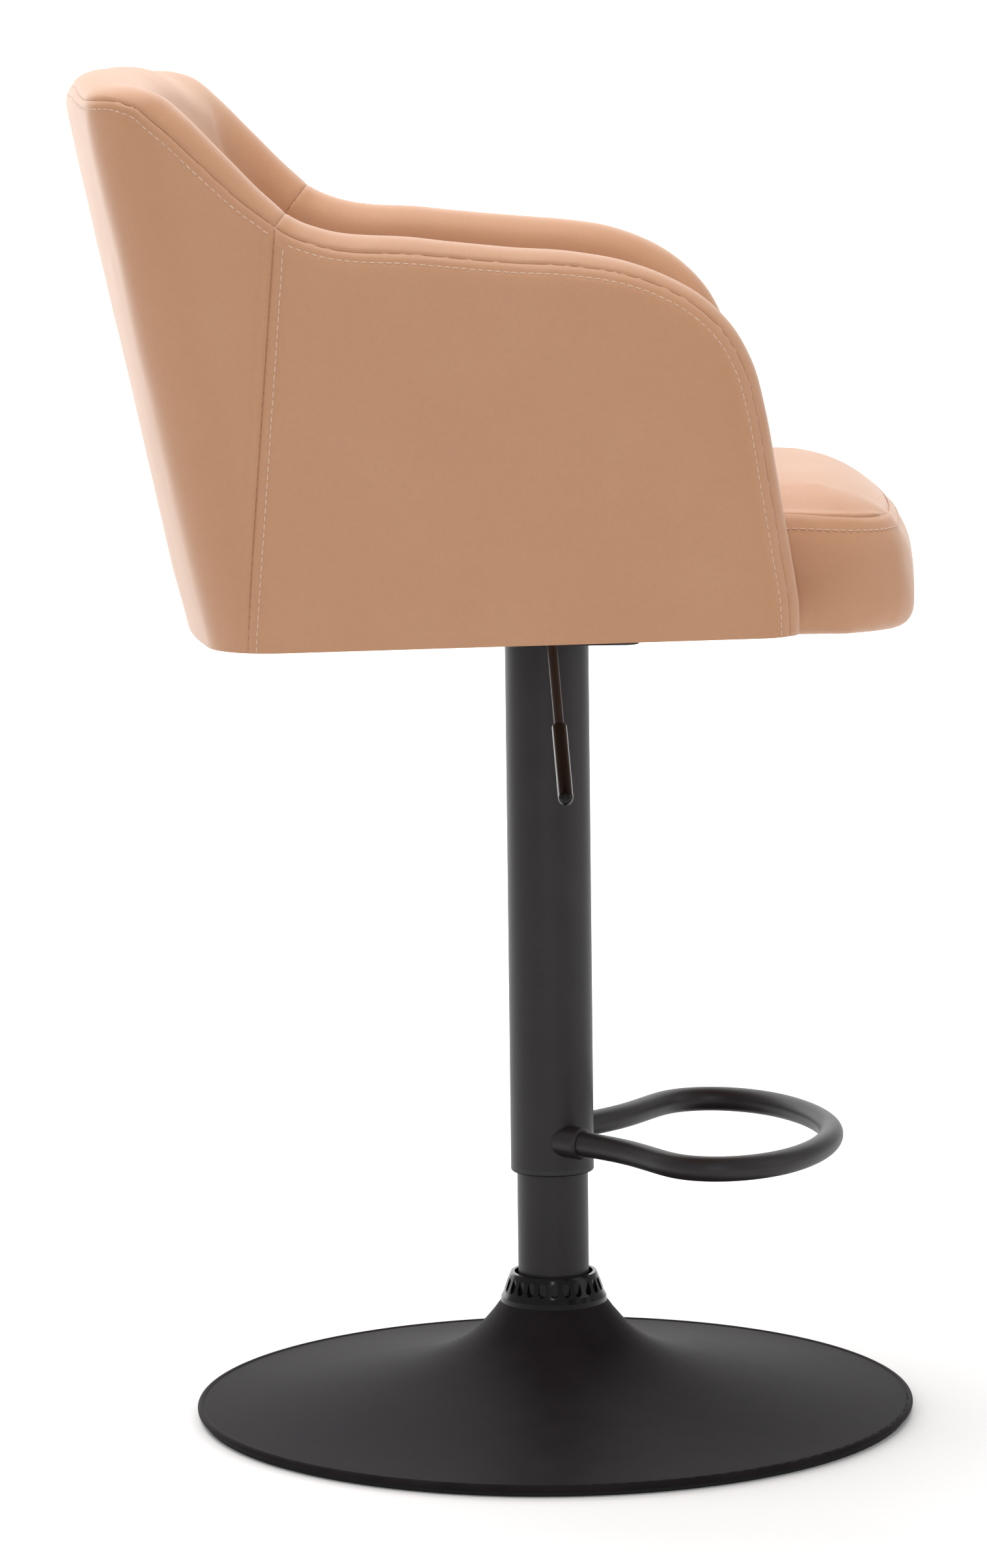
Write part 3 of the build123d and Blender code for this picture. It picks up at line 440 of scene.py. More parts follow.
def nearestOn(line, points):
    # distance of each point from a polyline, and where along its vertices the nearest point is
    start, run = line[:-1], np.diff(line, axis=0)
    size = np.maximum(np.sum(run**2, axis=1), 1e-18)
    best, at = np.full(len(points), 9.0), np.zeros(len(points))
    for low in range(0, len(points), 2000):
        part = points[low:low + 2000]
        w = np.clip(np.einsum("nmk,mk->nm", part[:, None] - start, run) / size, 0, 1)
        gap = np.linalg.norm(part[:, None] - start - w[..., None] * run, axis=2)
        pick = np.argmin(gap, axis=1)
        best[low:low + 2000] = gap[np.arange(len(part)), pick]
        at[low:low + 2000] = pick + w[np.arange(len(part)), pick]
    return best, at


def atIndex(values, at):
    low = np.clip(at.astype(int), 0, len(values) - 2)
    w = (at - low)[:, None] if values.ndim > 1 else at - low
    return values[low] * (1 - w) + values[low + 1] * w


def noiseAt(points, sizeMm, seed=0.0):
    scale = 1000 / sizeMm
    return np.array([noise.noise(Vector((p[0] * scale + seed, p[1] * scale, p[2] * scale))) for p in points])


def inside(loop, points):
    x, y = points[:, 0][:, None], points[:, 1][:, None]
    ax, ay = loop[:, 0], loop[:, 1]
    bx, by = np.roll(ax, -1), np.roll(ay, -1)
    crossing = ((ay > y) != (by > y)) & (x < (bx - ax) * (y - ay) / np.where(by == ay, 1e-12, by - ay) + ax)
    return crossing.sum(axis=1) % 2 == 1


def evenly(line, step):
    line = np.asarray(line, float)
    long = alongLine(line)
    count = max(int(round(long[-1] / step)), 1)
    want = np.linspace(0, long[-1], count + 1)
    return np.stack([np.interp(want, long, line[:, i]) for i in range(line.shape[1])], -1)


def filledOutline(loop, rows, step):
    # triangles inside a closed outline, with rows that follow its edge and a fine even net within
    loop = np.asarray(loop)
    edge = np.roll(loop, -1, axis=0) - np.roll(loop, 1, axis=0)
    edge /= np.maximum(np.linalg.norm(edge, axis=1, keepdims=True), 1e-9)
    area = np.sum(loop[:, 0] * np.roll(loop[:, 1], -1) - np.roll(loop[:, 0], -1) * loop[:, 1])
    inward = np.stack([-edge[:, 1], edge[:, 0]], -1) * (1 if area > 0 else -1)
    closed = np.vstack([loop, loop[:1]])
    extra = []
    for row in rows:
        points = loop + inward * row
        points = points[inside(loop, points)]
        extra.append(points[nearestOn(closed, points)[0] > row * 0.94])
    low, high = loop.min(axis=0), loop.max(axis=0)
    net = np.array([(x + (step / 2 if j % 2 else 0), z)
                    for j, z in enumerate(np.arange(low[1], high[1], step * 0.866))
                    for x in np.arange(low[0], high[0], step)])
    net = net[inside(loop, net)]
    extra.append(net[nearestOn(closed, net)[0] > rows[-1] + step * 0.6])
    points = np.vstack([loop] + extra)
    ring = [(i, (i + 1) % len(loop)) for i in range(len(loop))]
    made = delaunay_2d_cdt([Vector(p) for p in points], ring, [], 1, 1e-7)
    return np.array([v[:] for v in made[0]]), [tuple(f) for f in made[2]]


def newPiece(name, points, faces, *materials, smooth=True):
    mesh = bpy.data.meshes.new(name)
    mesh.from_pydata([tuple(p) for p in points], [], faces)
    for material in materials:
        mesh.materials.append(material)
    mesh.polygons.foreach_set("use_smooth", [smooth] * len(mesh.polygons))
    mesh.update()
    piece = bpy.data.objects.new(name, mesh)
    bpy.context.scene.collection.objects.link(piece)
    return piece


def mergeParts(parts):
    points, faces, base = [], [], 0
    for somePoints, someFaces in parts:
        points.append(np.asarray(somePoints))
        faces += [tuple(i + base for i in face) for face in someFaces]
        base += len(somePoints)
    return np.vstack(points), faces


def applied(piece, *modifiers):
    for kind, settings in modifiers:
        modifier = piece.modifiers.new(kind.lower(), kind)
        for name, value in settings.items():
            setattr(modifier, name, value)
    graph = bpy.context.evaluated_depsgraph_get()
    made = bpy.data.meshes.new_from_object(piece.evaluated_get(graph))
    piece.modifiers.clear()
    piece.data = made
    return piece


def weld(piece, distance, outward):
    # joins matching points and turns every face to the same side
    work = bmesh.new()
    work.from_mesh(piece.data)
    bmesh.ops.remove_doubles(work, verts=work.verts, dist=distance)
    bmesh.ops.dissolve_degenerate(work, edges=work.edges, dist=1e-6)
    bmesh.ops.recalc_face_normals(work, faces=work.faces)
    work.faces.ensure_lookup_table()
    turned = sum(face.normal.dot(outward(face.calc_center_median())) * face.calc_area()
                 for face in work.faces)
    if turned < 0:
        bmesh.ops.reverse_faces(work, faces=work.faces)
    work.to_mesh(piece.data)
    work.free()
    piece.data.polygons.foreach_set("use_smooth", [True] * len(piece.data.polygons))
    return piece


def sideOf(points, side):
    return points * np.array([1, side, 1])


def softness(points, seamGap, seed):
    slow = hand["slowHigh"] * noiseAt(points, hand["slowMm"], seed)
    slow = slow + hand["midHigh"] * noiseAt(points, hand["midMm"], seed + 7)
    pucker = hand["puckerHigh"] * noiseAt(points, hand["puckerMm"], seed + 3)
    pucker = pucker * np.exp(-seamGap / hand["puckerReach"]) * (1 - np.exp(-seamGap / hand["puckerStart"]))
    return slow * np.minimum(seamGap / hand["quiet"], 1) + pucker


# the rim is one wrapped strip over the wall's top edge, and these are its steps from seam to seam
rimSteps = np.array([0, 0.012, 0.028, 0.05, 0.08, 0.12, 0.17, 0.23, 0.30, 0.37, 0.44, 0.51,
                     0.58, 0.65, 0.72, 0.79, 0.86, 0.93, 1.0])


def rimSurface(at, w, side):
    phi0 = atIndex(seamPhi, at)
    phi = phi0 + (math.pi - phi0) * w
    high = tub["capHigh"]
    outer, inner = atIndex(outerPos, at), atIndex(innerPos, at)
    upO, upI = atIndex(outerUp, at), atIndex(innerUp, at)
    mix = ((1 - np.cos(phi)) / 2)[:, None]
    up = upO * (1 - mix) + upI * mix
    over = inner - outer
    drop = high * (1 - np.sin(phi))
    outerDrop, innerDrop = atIndex(outerUp2, at) * drop[:, None], atIndex(innerUp2, at) * drop[:, None]
    outerFace = wallPoint(outerPlan, atIndex(outerT, at) - outerDrop[:, 0],
                          atIndex(outerZ, at) - outerDrop[:, 1])[0]
    innerFace = wallPoint(innerPlan, atIndex(innerT, at) - innerDrop[:, 0],
                          atIndex(innerZ, at) - innerDrop[:, 1])[0]
    flat = outerFace * (1 - mix) + innerFace * mix
    wide = np.linalg.norm(over, axis=1, keepdims=True)
    out = -over / wide * (np.cos(phi) * high)[:, None] + up * (np.sin(phi))[:, None] * wide / 2
    out /= np.linalg.norm(out, axis=1, keepdims=True)
    gap = w * tub["rimWide"]
    cross = np.abs(atIndex(crestS, at) - crestS[kneeAt])
    seamGap = np.minimum(gap, cross)
    flat = sideOf(flat, side)
    out = sideOf(out, side)
    lift = tub["rimPuff"] * (1 - np.exp(-seamGap / tub["rimPuffRun"])) * (1 - w**3)
    lift -= tub["groove"] * np.exp(-(gap / tub["grooveWide"])**2)
    lift -= tub["crossGroove"] * np.exp(-(cross / tub["crossWide"])**2) * np.minimum(1, w * 40)
    lift += softness(flat, seamGap, seeds["rim"]) * (1 - w**6) * np.minimum(1, gap / 0.002)
    return flat + out * lift[:, None], out


def rimStrip(first, last, side):
    ks = np.arange(first, last + 1)
    at = np.repeat(ks, len(rimSteps)).astype(float)
    w = np.tile(rimSteps, len(ks))
    points = rimSurface(at, w, side)[0]
    n = len(rimSteps)
    faces = [(i * n + j, i * n + j + 1, (i + 1) * n + j + 1, (i + 1) * n + j)
             for i in range(len(ks) - 1) for j in range(n - 1)]
    return points, faces


# seams and edges of the wall's two faces, in its own unrolled plane
outerSeam = np.stack([outerT, outerZ], -1) - outerUp2 * seamDrop[:, None]
innerEdge = np.stack([innerT, innerZ], -1) - innerUp2 * tub["capHigh"]
outerCrest = np.stack([outerT, outerZ], -1)


def alongSide(plan, x, z):
    return plan["sideStart"] + x + tub["lean"] * (z - tub["planZ"]) - plan["foot"]


def bottomZ(x):
    (x0, z0), (x1, z1) = tub["bottomRear"], tub["bottomFront"]
    return z0 + (x - x0) * (z1 - z0) / (x1 - x0)


def sideLine(plan, start, lean, endZ):
    # a seam that runs down a side wall from a point, in the wall's own unrolled plane
    z = np.linspace(start[1], endZ, 60)
    x0 = start[0] - plan["sideStart"] - tub["lean"] * (start[1] - tub["planZ"]) + plan["foot"]
    return np.stack([alongSide(plan, x0 + lean * (z - start[1]), z), z], -1)


outerDown = sideLine(outerPlan, outerSeam[kneeAt], tub["outerSeamLean"], bottomZ(tub["outerSeamFootX"]))
innerDown = sideLine(innerPlan, innerEdge[kneeAt], tub["innerSeamLean"], tub["liningFoot"])


def outerSurface(tz, seamLines, side, seed):
    apart, at = nearestOn(outerCrest, np.stack([np.abs(tz[:, 0]), tz[:, 1]], -1))
    sinPhi = np.clip(1 - apart / tub["capHigh"], 0, 1)
    inset = (1 - np.sqrt(1 - sinPhi**2)) / 2
    flat, out = wallPoint(outerPlan, tz[:, 0], tz[:, 1])
    over = atIndex(across, at)
    mirror = np.where(tz[:, 0] < 0, -1, 1)[:, None] * np.array([0, 1, 0]) + np.array([1, 0, 1])
    flat = flat + over * mirror * inset[:, None]
    seamGap = np.min([nearestOn(line, tz)[0] for line in seamLines], axis=0)
    lift = tub["puff"] * (1 - np.exp(-seamGap / tub["puffRun"]))
    lift = lift - tub["groove"] * np.exp(-(seamGap / tub["grooveWide"])**2)
    lift -= tub["stitchDimple"] * np.exp(-((seamGap - tub["stitchGap"]) / tub["grooveWide"])**2)
    flat, out = sideOf(flat, side), sideOf(out, side)
    lift += softness(flat, seamGap, seed)
    low = np.clip((tz[:, 1] - 0.512) / 0.03, 0, 1)  # the cover is pulled flat at its foot
    return flat + out * (lift * (0.3 + 0.7 * low))[:, None], out


def innerSurface(tz, seamLines, side, seed):
    flat, out = wallPoint(innerPlan, tz[:, 0], tz[:, 1])
    out = -out
    edgeLine = np.vstack([innerEdge, innerEdge[::-1] * [-1, 1]])
    below = nearestOn(edgeLine, tz)[0]
    seamGap = np.min([nearestOn(line, tz)[0] for line in seamLines], axis=0)
    lift = tub["padPuff"] * (1 - np.exp(-below / tub["padRun"])) * (1 - np.exp(-seamGap / tub["padSeamRun"]))
    lift -= tub["crossGroove"] * np.exp(-(seamGap / tub["crossWide"])**2)
    flat, out = sideOf(flat, side), sideOf(out, side)
    lift += softness(flat, seamGap, seed) * np.minimum(below / 0.01, 1)
    return flat + out * lift[:, None], out


# rows of points beside a seam, close enough together to draw its groove and its stitching
panelRows = [0.0009, 0.0019, 0.0032, 0.0044, 0.0056, 0.0068, 0.0085, 0.0115, 0.0155]
liningRows = [0.0009, 0.0019, 0.0032, 0.005, 0.008]


def seatCover(piece, node):
    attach(piece, "seat")
    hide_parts(node)


def outerPanel(name, node, loopParts, seamLines, side, seed, exact):
    # its edge takes the rim's own points, so the two share a seam
    loop = np.vstack([part[:-1] for part in loopParts])
    tz, faces = filledOutline(loop, panelRows, tub["net"])
    points, _ = outerSurface(tz, seamLines, side, seed)
    match = {tuple(np.round(key, 7)): value for key, value in exact}
    for i in range(len(tz)):
        found = match.get(tuple(np.round(tz[i], 7)))
        if found is not None:
            points[i] = found
    piece = newPiece(name, points, faces, coverMaterial)
    weld(piece, 2e-5, lambda c: Vector((c.x + 0.02, c.y, 0)))
    applied(piece, ("SOLIDIFY", {"thickness": tub["thick"], "offset": -1.0}))
    seatCover(piece, node)


def seamPairs(low, high, side):
    # the rim's own edge points, keyed by their place in the unrolled wall
    ks = np.arange(low, high + 1)
    rimEdge = rimSurface(ks.astype(float), np.zeros(len(ks)), side)[0]
    return [(outerSeam[k], p) for k, p in zip(ks, rimEdge)]


sideBottom = evenly([outerDown[-1], [outerSeam[0][0], outerSeam[0][1]]], 0.005)
for side, word in ((1, "left"), (-1, "right")):
    loopParts = [outerSeam[:kneeAt + 1], evenly(outerDown, tub["seamStep"]), sideBottom]
    outerPanel("sidePanel" + word.title(), "side_panel_" + word, loopParts,
               [outerSeam[:kneeAt + 1], outerDown], side, seeds["side"] + side, seamPairs(0, kneeAt, side))

backSeam = outerSeam[kneeAt:]
backTop = np.vstack([backSeam, backSeam[::-1][1:] * [-1, 1]])
backBottom = evenly([outerDown[-1] * [-1, 1], outerDown[-1]], 0.006)
backBottom[:, 1] = np.interp(np.abs(backBottom[:, 0]), [0, outerDown[-1][0]],
                             [tub["backFoot"], outerDown[-1][1]])
loopParts = [backTop, evenly(outerDown * [-1, 1], tub["seamStep"]), backBottom,
             evenly(outerDown[::-1], tub["seamStep"])]
backPairs = seamPairs(kneeAt, len(crestS) - 1, 1)
backPairs += [(key * [-1, 1], value) for key, value in seamPairs(kneeAt, len(crestS) - 1, -1)]
outerPanel("backPanel", "back_panel", loopParts,
           [backTop, outerDown, outerDown * [-1, 1]], 1, seeds["back"], backPairs)
print("outer panels made")


def liningPiece(name, node, rims, loopParts, seamLines, side, seed):
    loop = np.vstack([part[:-1] for part in loopParts])
    tz, faces = filledOutline(loop, liningRows, tub["net"])
    points, _ = innerSurface(tz, seamLines, side, seed)
    piece = newPiece(name, *mergeParts(rims + [(points, faces)]), coverMaterial)
    weld(piece, 6e-5, lambda c: Vector((-c.x, -c.y, 0.35)))
    applied(piece, ("SOLIDIFY", {"thickness": tub["thick"], "offset": -1.0}))
    seatCover(piece, node)


armEdge = innerEdge[:kneeAt + 1]
boardFront = [alongSide(innerPlan, tub["liningFrontX"], tub["liningFoot"]), tub["liningFoot"]]
armBottom = np.vstack([evenly([innerDown[-1], boardFront], 0.006),
                       evenly([boardFront, armEdge[0] - [0.002, 0]], 0.006)[1:], armEdge[:1]])
for side, word in ((1, "left"), (-1, "right")):
    liningPiece("armPad" + word.title(), "arm_pad_" + word, [rimStrip(0, kneeAt, side)],
                [armEdge, evenly(innerDown, tub["seamStep"]), armBottom], [innerDown],
                side, seeds["arm"] + side)
backEdge = innerEdge[kneeAt:]
backInner = np.vstack([backEdge, backEdge[::-1][1:] * [-1, 1]])
last = len(crestS) - 1
liningPiece("backPad", "back_pad", [rimStrip(kneeAt, last, 1), rimStrip(kneeAt, last, -1)],
            [backInner, evenly(innerDown * [-1, 1], tub["seamStep"]),
             evenly([innerDown[-1] * [-1, 1], innerDown[-1]], 0.006),
             evenly(innerDown[::-1], tub["seamStep"])],
            [innerDown, innerDown * [-1, 1]], 1, seeds["backPad"])
print("rim and lining made")


# a boxed cushion: crowned top, a welted top seam and a bulging border that tucks in underneath
cushion = {
    "corner": 0.060, "step": 0.0055, "net": 0.008, "fill": 0.8,
    "frames": 20, "evenPasses": 40, "swellCap": 0.0025,  # the simulation, and the most that it may add
    "seamRise": 0.004, "bow": 0.0060, "dome": 0.010,
    "groove": 0.0022, "grooveWide": 0.0017,
    "gatherMm": 11.0, "gatherHigh": 0.0045, "gatherLow": -0.05, "gatherTop": 0.40, "foot": 0.508,
    # the top falls from its crown to the seam over this run, in a round shoulder
    "crown": 0.6014, "fall": 0.0250, "run": 0.055, "seamInset": 0.0146,
    "topInsets": [0.056, 0.050, 0.044, 0.038, 0.032, 0.027, 0.023, 0.020, 0.0178, 0.0162, 0.0152],
    # inset from the outline, and height, from the seam to the underside
    "border": [
        (0.0146, 0.5764), (0.0138, 0.5752), (0.0126, 0.5738),
        (0.0110, 0.5718), (0.0088, 0.5690), (0.0064, 0.5655), (0.0040, 0.5610), (0.0018, 0.5550),
        (0.0006, 0.5490), (0.0000, 0.5430), (0.0004, 0.5365), (0.0016, 0.5300), (0.0036, 0.5230),
        (0.0064, 0.5165), (0.0110, 0.5110), (0.0180, 0.5080),
    ],
}


def topHeight(inset):
    apart = np.maximum(inset - cushion["seamInset"], 0)
    return cushion["crown"] - cushion["fall"] * np.maximum(1 - apart / cushion["run"], 0)**2.2


cushion["section"] = [(d, float(topHeight(d))) for d in cushion["topInsets"]] + cushion["border"]
cushion["seamRow"] = len(cushion["topInsets"])


def roundedPlan(x0, x1, half, corner, step):
    quarter = [(math.cos(a), math.sin(a)) for a in np.linspace(0, math.pi / 2, 40)]
    loop = [(x1 - corner + corner * c, half - corner + corner * s) for c, s in quarter]
    loop += [(x0 + corner - corner * s, half - corner + corner * c) for c, s in quarter]
    loop += [(x0 + corner - corner * c, -half + corner - corner * s) for c, s in quarter]
    loop += [(x1 - corner + corner * s, -half + corner - corner * c) for c, s in quarter]
    return evenly(loop + loop[:1], step)[:-1]


cushionLow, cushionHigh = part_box("seat_cushion")
frontX, rearX, halfY = cushionHigh[0], cushionLow[0], cushionHigh[1]
planLoop = roundedPlan(rearX, frontX, halfY, cushion["corner"], cushion["step"])
print("cushion box", [round(v, 4) for v in (*cushionLow, *cushionHigh)])


def cushionPoints(inset, z):
    run = np.roll(planLoop, -1, axis=0) - np.roll(planLoop, 1, axis=0)
    out = np.stack([run[:, 1], -run[:, 0]], -1) / np.linalg.norm(run, axis=1, keepdims=True)
    flat = planLoop - out * inset
    return np.column_stack([flat, np.full(len(flat), z)]), np.column_stack([out, np.zeros(len(flat))])


def cushionRings():
    rows = [cushionPoints(inset, z)[0] for inset, z in cushion["section"]]
    n = len(planLoop)
    points = np.vstack(rows)
    faces = [(i * n + j, i * n + (j + 1) % n, (i + 1) * n + (j + 1) % n, (i + 1) * n + j)
             for i in range(len(rows) - 1) for j in range(n)]
    # the top seam sits a little lower along the front than along the sides
    seamZ = cushion["section"][cushion["seamRow"]][1]
    frontness = np.clip((points[:, 0] - 0.150) / 0.05, 0, 1)
    sag = np.exp(-((points[:, 2] - seamZ) / 0.012)**2)
    points[:, 2] += cushion["seamRise"] * (1 - frontness) * sag
    # the front bows a little: its middle stands further out than its corners
    bow = np.minimum((points[:, 1] / 0.132)**2, 1.3) * np.clip((points[:, 0] - 0.06) / 0.14, 0, 1)
    points[:, 0] -= cushion["bow"] * bow * np.clip((points[:, 2] - 0.514) / 0.03, 0.15, 1)
    return points, faces, n


def domed(points):
    # the top is highest in its middle and falls towards both arms
    onCrown = np.clip((points[:, 2] - 0.581) / 0.018, 0, 1)
    return points[:, 2] - cushion["dome"] * (points[:, 1] / 0.19)**2 * onCrown


def madeCushion():
    points, faces, n = cushionRings()
    for base, flatZ in ((0, None), (len(points) - n, cushion["section"][-1][1])):
        loop = points[base:base + n, :2]
        net, netFaces = filledOutline(loop, [0.004], cushion["net"])
        apart = nearestOn(np.vstack([loop, loop[:1]]), net)[0]
        z = topHeight(apart + cushion["topInsets"][0]) + 0.001 * (1 - np.exp(-apart / 0.06))
        z = np.full(len(net), flatZ) if flatZ else z
        # the net's first points are the ring's own
        place = [base + i if i < n else len(points) + i - n for i in range(len(net))]
        faces += [tuple(place[i] for i in face) for face in netFaces]
        points = np.vstack([points, np.column_stack([net, z])[n:]])
    points[:, 2] = domed(points)
    return points, faces, n


def inflated(piece, pinned):
    # the cover swells under the foam's pressure; the cap holds each point near the drawn form
    before = np.array([v.co[:] for v in piece.data.vertices])
    group = piece.vertex_groups.new(name="held")
    group.add([int(i) for i in pinned], 1.0, "REPLACE")
    cloth = piece.modifiers.new("cloth", "CLOTH")
    cloth.settings.quality = 6
    cloth.settings.mass = 0.4
    cloth.settings.tension_stiffness = 18
    cloth.settings.compression_stiffness = 12
    cloth.settings.shear_stiffness = 6
    cloth.settings.bending_stiffness = 0.8
    cloth.settings.use_pressure = True
    cloth.settings.uniform_pressure_force = 4.0
    cloth.settings.vertex_group_mass = "held"
    cloth.settings.effector_weights.gravity = 0
    cloth.collision_settings.use_collision = False
    for frameNow in range(1, cushion["frames"] + 1):
        bpy.context.scene.frame_set(frameNow)
    graph = bpy.context.evaluated_depsgraph_get()
    made = piece.evaluated_get(graph).to_mesh()
    after = np.array([v.co[:] for v in made.vertices])
    piece.modifiers.clear()
    bpy.context.scene.frame_set(1)
    move = after - before
    # the foam under the cover evens out its small folds
    ends = np.array([edge.vertices[:] for edge in piece.data.edges])
    count = np.maximum(np.bincount(ends.ravel(), minlength=len(move)), 1)[:, None]
    free = np.ones(len(move))
    free[pinned] = 0
    for _ in range(cushion["evenPasses"]):
        total = np.zeros_like(move)
        np.add.at(total, ends[:, 0], move[ends[:, 1]])
        np.add.at(total, ends[:, 1], move[ends[:, 0]])
        move = total / count * free[:, None]
    far = np.linalg.norm(move, axis=1, keepdims=True)
    cap = cushion["swellCap"]
    print("cushion swells", round(float(far.max() * 1000), 1), "mm at most, cut to", cap * 1000, "mm")
    return before + move * np.minimum(1, cap / np.maximum(far, 1e-9))


cushionXyz, cushionFaces, ringSize = madeCushion()
seatCushion = newPiece("seatCushion", cushionXyz, cushionFaces, coverMaterial)
seamRing = np.arange(cushion["seamRow"] * ringSize, (cushion["seamRow"] + 1) * ringSize)
floorRing = np.arange((len(cushion["section"]) - 1) * ringSize, len(cushion["section"]) * ringSize)
sidePins = np.nonzero((cushionXyz[:, 0] < frontX - 0.03) & (cushionXyz[:, 2] < 0.578))[0]
held = np.unique(np.concatenate([seamRing, floorRing, sidePins]))
cushionXyz = inflated(seatCushion, held)

# the seam's groove, the puckers beside it and the gathers at the foot of the border
rowOf = np.arange(len(cushionXyz)) // ringSize
rowLong = alongLine(np.array(cushion["section"]))
inRings = rowOf < len(cushion["section"])
seamGap = np.full(len(cushionXyz), 0.08)
seamGap[inRings] = np.abs(rowLong[rowOf[inRings]] - rowLong[cushion["seamRow"]])
onTop = (rowOf < cushion["seamRow"]) | (~inRings & (cushionXyz[:, 2] > 0.56))
middle = np.array([(frontX + rearX) / 2 - 0.02, 0, 0.535])
away = cushionXyz - middle
away[:, :2] *= 0.9
away[:, 2] *= np.where(onTop, 6.0, 0.6)
away /= np.linalg.norm(away, axis=1, keepdims=True)
lift = -cushion["groove"] * np.exp(-(seamGap / cushion["grooveWide"])**2)
lift += softness(cushionXyz, seamGap, seeds["cushion"])
gather = np.exp(-(cushionXyz[:, 2] - cushion["foot"]) / 0.012) * ~onTop * inRings
ripple = noiseAt(cushionXyz * np.array([1, 1, 0.12]), cushion["gatherMm"], seeds["gather"])
lift += cushion["gatherHigh"] * gather * np.clip(ripple, cushion["gatherLow"], cushion["gatherTop"])
cushionXyz = cushionXyz + away * lift[:, None]
cushionXyz[:, 1] = np.clip(cushionXyz[:, 1], -halfY - 0.0005, halfY + 0.0005)
seatCushion.data.vertices.foreach_set("co", cushionXyz.ravel())
weld(seatCushion, 2e-5, lambda c: c - Vector(middle))
applied(seatCushion, ("SUBSURF", {"levels": 1, "render_levels": 1}))
seatCover(seatCushion, "seat_cushion")
print("cushion made")


# top stitches show whole, and seam stitches lie half sunk in their groove
threads = {
    "radius": 0.00036, "sides": 6, "pathStep": 0.002,
    "top": {"pitch": 0.0048, "long": 0.0038, "sink": 0.0},
    "cushion": {"pitch": 0.0048, "long": 0.0038, "sink": -0.0002},
    "seam": {"pitch": 0.0062, "long": 0.0030, "sink": 0.0004},
    "capsule": [(0.10, 0.72), (0.28, 1.0), (0.72, 1.0), (0.90, 0.72)],  # place along a stitch, and girth
}


def stitchRow(path, normals, stitch):
    # small capsules end to end along a path, part of each standing out from the surface
    pitch, long, sink = stitch["pitch"], stitch["long"], stitch["sink"]
    radius, sides, capsule = threads["radius"], threads["sides"], threads["capsule"]
    where = alongLine(path)
    count = int(where[-1] / pitch)
    starts = (np.arange(count) + 0.5) * where[-1] / count
    parts = []
    for s in starts:
        ends = [np.array([np.interp(s + d, where, path[:, i]) for i in range(3)])
                for d in (-long / 2, long / 2)]
        normal = np.array([np.interp(s, where, normals[:, i]) for i in range(3)])
        run = ends[1] - ends[0]
        run /= max(np.linalg.norm(run), 1e-9)
        normal -= run * normal.dot(run)
        normal /= max(np.linalg.norm(normal), 1e-9)
        across = np.cross(run, normal)
        points, faces = [ends[0] - normal * (radius * 0.6 + sink)], []
        for w, r in capsule:
            arch = radius * (0.9 * math.sin(math.pi * w) - 0.3) - sink
            centre = ends[0] * (1 - w) + ends[1] * w + normal * arch
            points += [centre + (across * math.cos(a) + normal * math.sin(a)) * radius * r
                       for a in np.arange(sides) * 2 * math.pi / sides]
        points.append(ends[1] - normal * (radius * 0.6 + sink))
        rings = len(capsule)
        faces += [(0, 1 + (j + 1) % sides, 1 + j) for j in range(sides)]
        for i in range(rings - 1):
            faces += [(1 + i * sides + j, 1 + i * sides + (j + 1) % sides,
                       1 + (i + 1) * sides + (j + 1) % sides, 1 + (i + 1) * sides + j) for j in range(sides)]
        end = 1 + rings * sides
        faces += [(end, 1 + (rings - 1) * sides + j, 1 + (rings - 1) * sides + (j + 1) % sides)
                  for j in range(sides)]
        parts.append((np.array(points), faces))
    return mergeParts(parts)


def stitched(name, rows, material):
    piece = newPiece(name, *mergeParts(rows), material)
    work = bmesh.new()
    work.from_mesh(piece.data)
    bmesh.ops.recalc_face_normals(work, faces=work.faces)
    work.to_mesh(piece.data)
    work.free()
    piece.data.polygons.foreach_set("use_smooth", [True] * len(piece.data.polygons))
    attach(piece, "seat")
    return piece


paleRows, darkRows = [], []
insetLine = np.stack([outerT, outerZ], -1) - outerUp2 * (seamDrop + tub["stitchGap"])[:, None]
sideTop = insetLine[:kneeAt + 1]
sideTop = sideTop[nearestOn(outerDown, sideTop)[0] > tub["stitchGap"] * 0.9]
sideTop = sideTop[np.concatenate([[True], sideTop[1:, 1] > 0.518])]
beside = outerDown + np.array([tub["stitchGap"], 0])
beside = beside[beside[:, 1] < sideTop[-1][1] - 0.001]
for side in (1, -1):
    seams = [outerSeam[:kneeAt + 1], outerDown]
    for line in (evenly(sideTop, threads["pathStep"]), evenly(beside, threads["pathStep"])):
        paleRows.append(stitchRow(*outerSurface(line, seams, side, seeds["side"] + side), threads["top"]))
    w = np.linspace(0.02, 1, 60)
    outerPath, innerPath = evenly(outerDown, threads["pathStep"]), evenly(innerDown, threads["pathStep"])
    for seam in (outerSurface(outerPath, seams, side, seeds["side"] + side),
                 rimSurface(np.full(len(w), float(kneeAt)), w, side),
                 innerSurface(innerPath, [innerDown], side, seeds["arm"] + side)):
        darkRows.append(stitchRow(*seam, threads["seam"]))
backTopStitch = insetLine[kneeAt:]
backTopStitch = backTopStitch[nearestOn(outerDown, backTopStitch)[0] > 0.002]
backTopStitch = np.vstack([backTopStitch, backTopStitch[::-1][1:] * [-1, 1]])
backSeams = [backTop, outerDown, outerDown * [-1, 1]]
backTopStitch = outerSurface(evenly(backTopStitch, threads["pathStep"]), backSeams, 1, seeds["back"])
paleRows.append(stitchRow(*backTopStitch, threads["top"]))

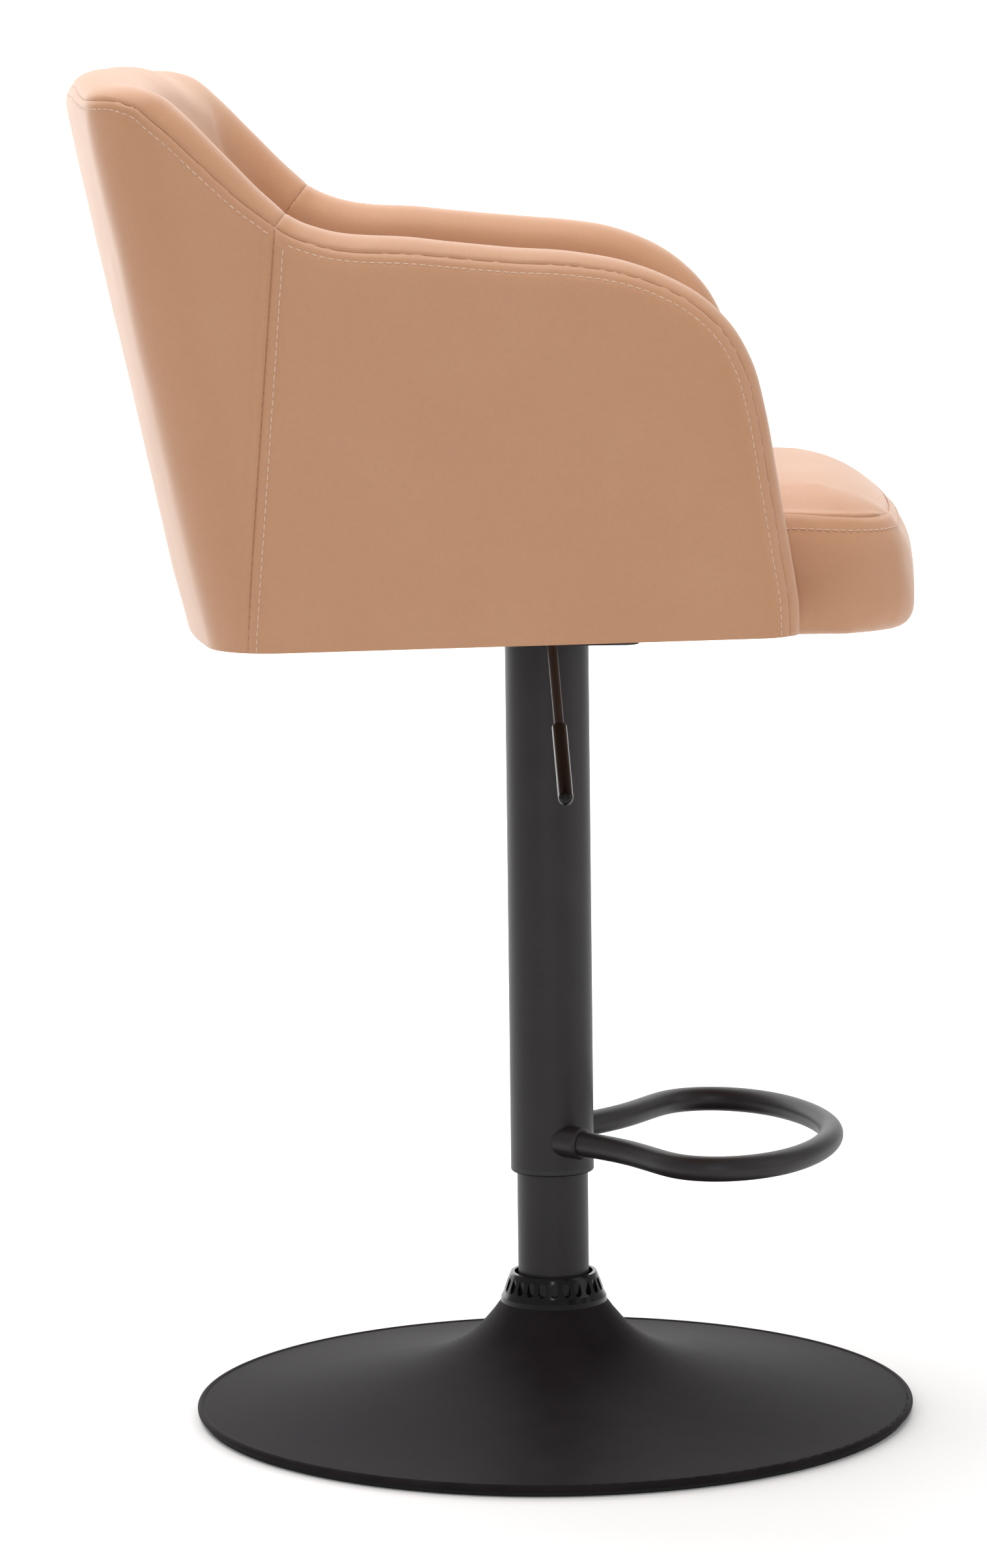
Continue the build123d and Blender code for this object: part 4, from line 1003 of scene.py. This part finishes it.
ringAt = cushion["seamRow"] + 4  # the border's row that carries the top stitches
seamRingXyz = cushionXyz[ringAt * ringSize:(ringAt + 1) * ringSize]
seamRingXyz = np.vstack([seamRingXyz, seamRingXyz[:1]])
ringOut = cushionPoints(0.0, 0.0)[1] + np.array([0, 0, 0.35])
ringOut = np.vstack([ringOut, ringOut[:1]])
paleRows.append(stitchRow(seamRingXyz, ringOut, threads["cushion"]))
stitched("topStitching", paleRows, paleThread)
stitched("seamStitching", darkRows, darkThread)
print("stitching made")


# the floor sweeps up into a wall, in metres, and the lamps' powers are in watts
studio = {"floorHalf": 12.0, "wallY": 11.0, "wallHigh": 9.0, "curve": 3.0,
          "key": 50.0, "side": 10.0, "rear": 22.0, "front": 22.0, "wall": 560.0, "sky": 0.54}


def backdrop():
    wide, wallY, curve = studio["floorHalf"], studio["wallY"], studio["curve"]
    line = [(-wide, 0.0), (wallY - curve, 0.0)]
    line += [(wallY - curve + curve * math.sin(a), curve - curve * math.cos(a))
             for a in np.linspace(0, math.pi / 2, 24)[1:]]
    line.append((wallY, studio["wallHigh"]))
    points = [(x, y, z) for y, z in line for x in (-wide, wide)]
    faces = [(2 * i, 2 * i + 1, 2 * i + 3, 2 * i + 2) for i in range(len(line) - 1)]
    piece = newPiece("studioFloor", points, faces, studioPaint())


backdrop()

world = bpy.data.worlds.new("studio sky")
world.use_nodes = True
sky = world.node_tree.nodes["Background"]
sky.inputs["Color"].default_value = linear("#ffffff")
sky.inputs["Strength"].default_value = studio["sky"]
bpy.context.scene.world = world
bpy.context.scene.view_settings.view_transform = "Standard"


def softLight(name, place, target, size, power):
    lamp = bpy.data.lights.new(name, "AREA")
    lamp.shape = "RECTANGLE"
    lamp.size, lamp.size_y = size
    lamp.energy = power
    holder = bpy.data.objects.new(name, lamp)
    holder.location = place
    holder.rotation_euler = (Vector(target) - Vector(place)).to_track_quat("-Z", "Y").to_euler()
    bpy.context.scene.collection.objects.link(holder)


middleOfSeat = (-0.03, 0.0, 0.55)
softLight("topSoftbox", (-0.5, 0.1, 2.6), middleOfSeat, (2.4, 2.4), studio["key"])
softLight("leftSoftbox", (-2.0, 2.5, 1.3), middleOfSeat, (1.6, 2.2), studio["rear"])
softLight("rightSoftbox", (2.6, -0.6, 1.3), middleOfSeat, (1.4, 2.2), studio["side"])
softLight("frontSoftbox", (-0.3, -4.4, 1.7), middleOfSeat, (0.4, 2.0), studio["front"])
softLight("wallLight", (0.0, 6.0, 5.0), (0.0, 8.5, 0.0), (7.0, 6.0), studio["wall"])

# down and roll are in radians, lens and frame in millimetres
camera = {"place": (-0.0340, -3.7079, 0.9096), "down": 0.1373, "roll": -0.0125, "lens": 138.3, "frame": 36.0}
lens = bpy.data.cameras.new("camera")
lens.lens = camera["lens"]
lens.sensor_fit = "VERTICAL"
lens.sensor_height = lens.sensor_width = camera["frame"]
lens.clip_end = 100
eye = bpy.data.objects.new("camera", lens)
turned = Matrix.Rotation(math.pi / 2 - camera["down"], 4, "X") @ Matrix.Rotation(camera["roll"], 4, "Z")
eye.matrix_world = Matrix.Translation(camera["place"]) @ turned
bpy.context.scene.collection.objects.link(eye)
bpy.context.scene.camera = eye

print("scene ready")
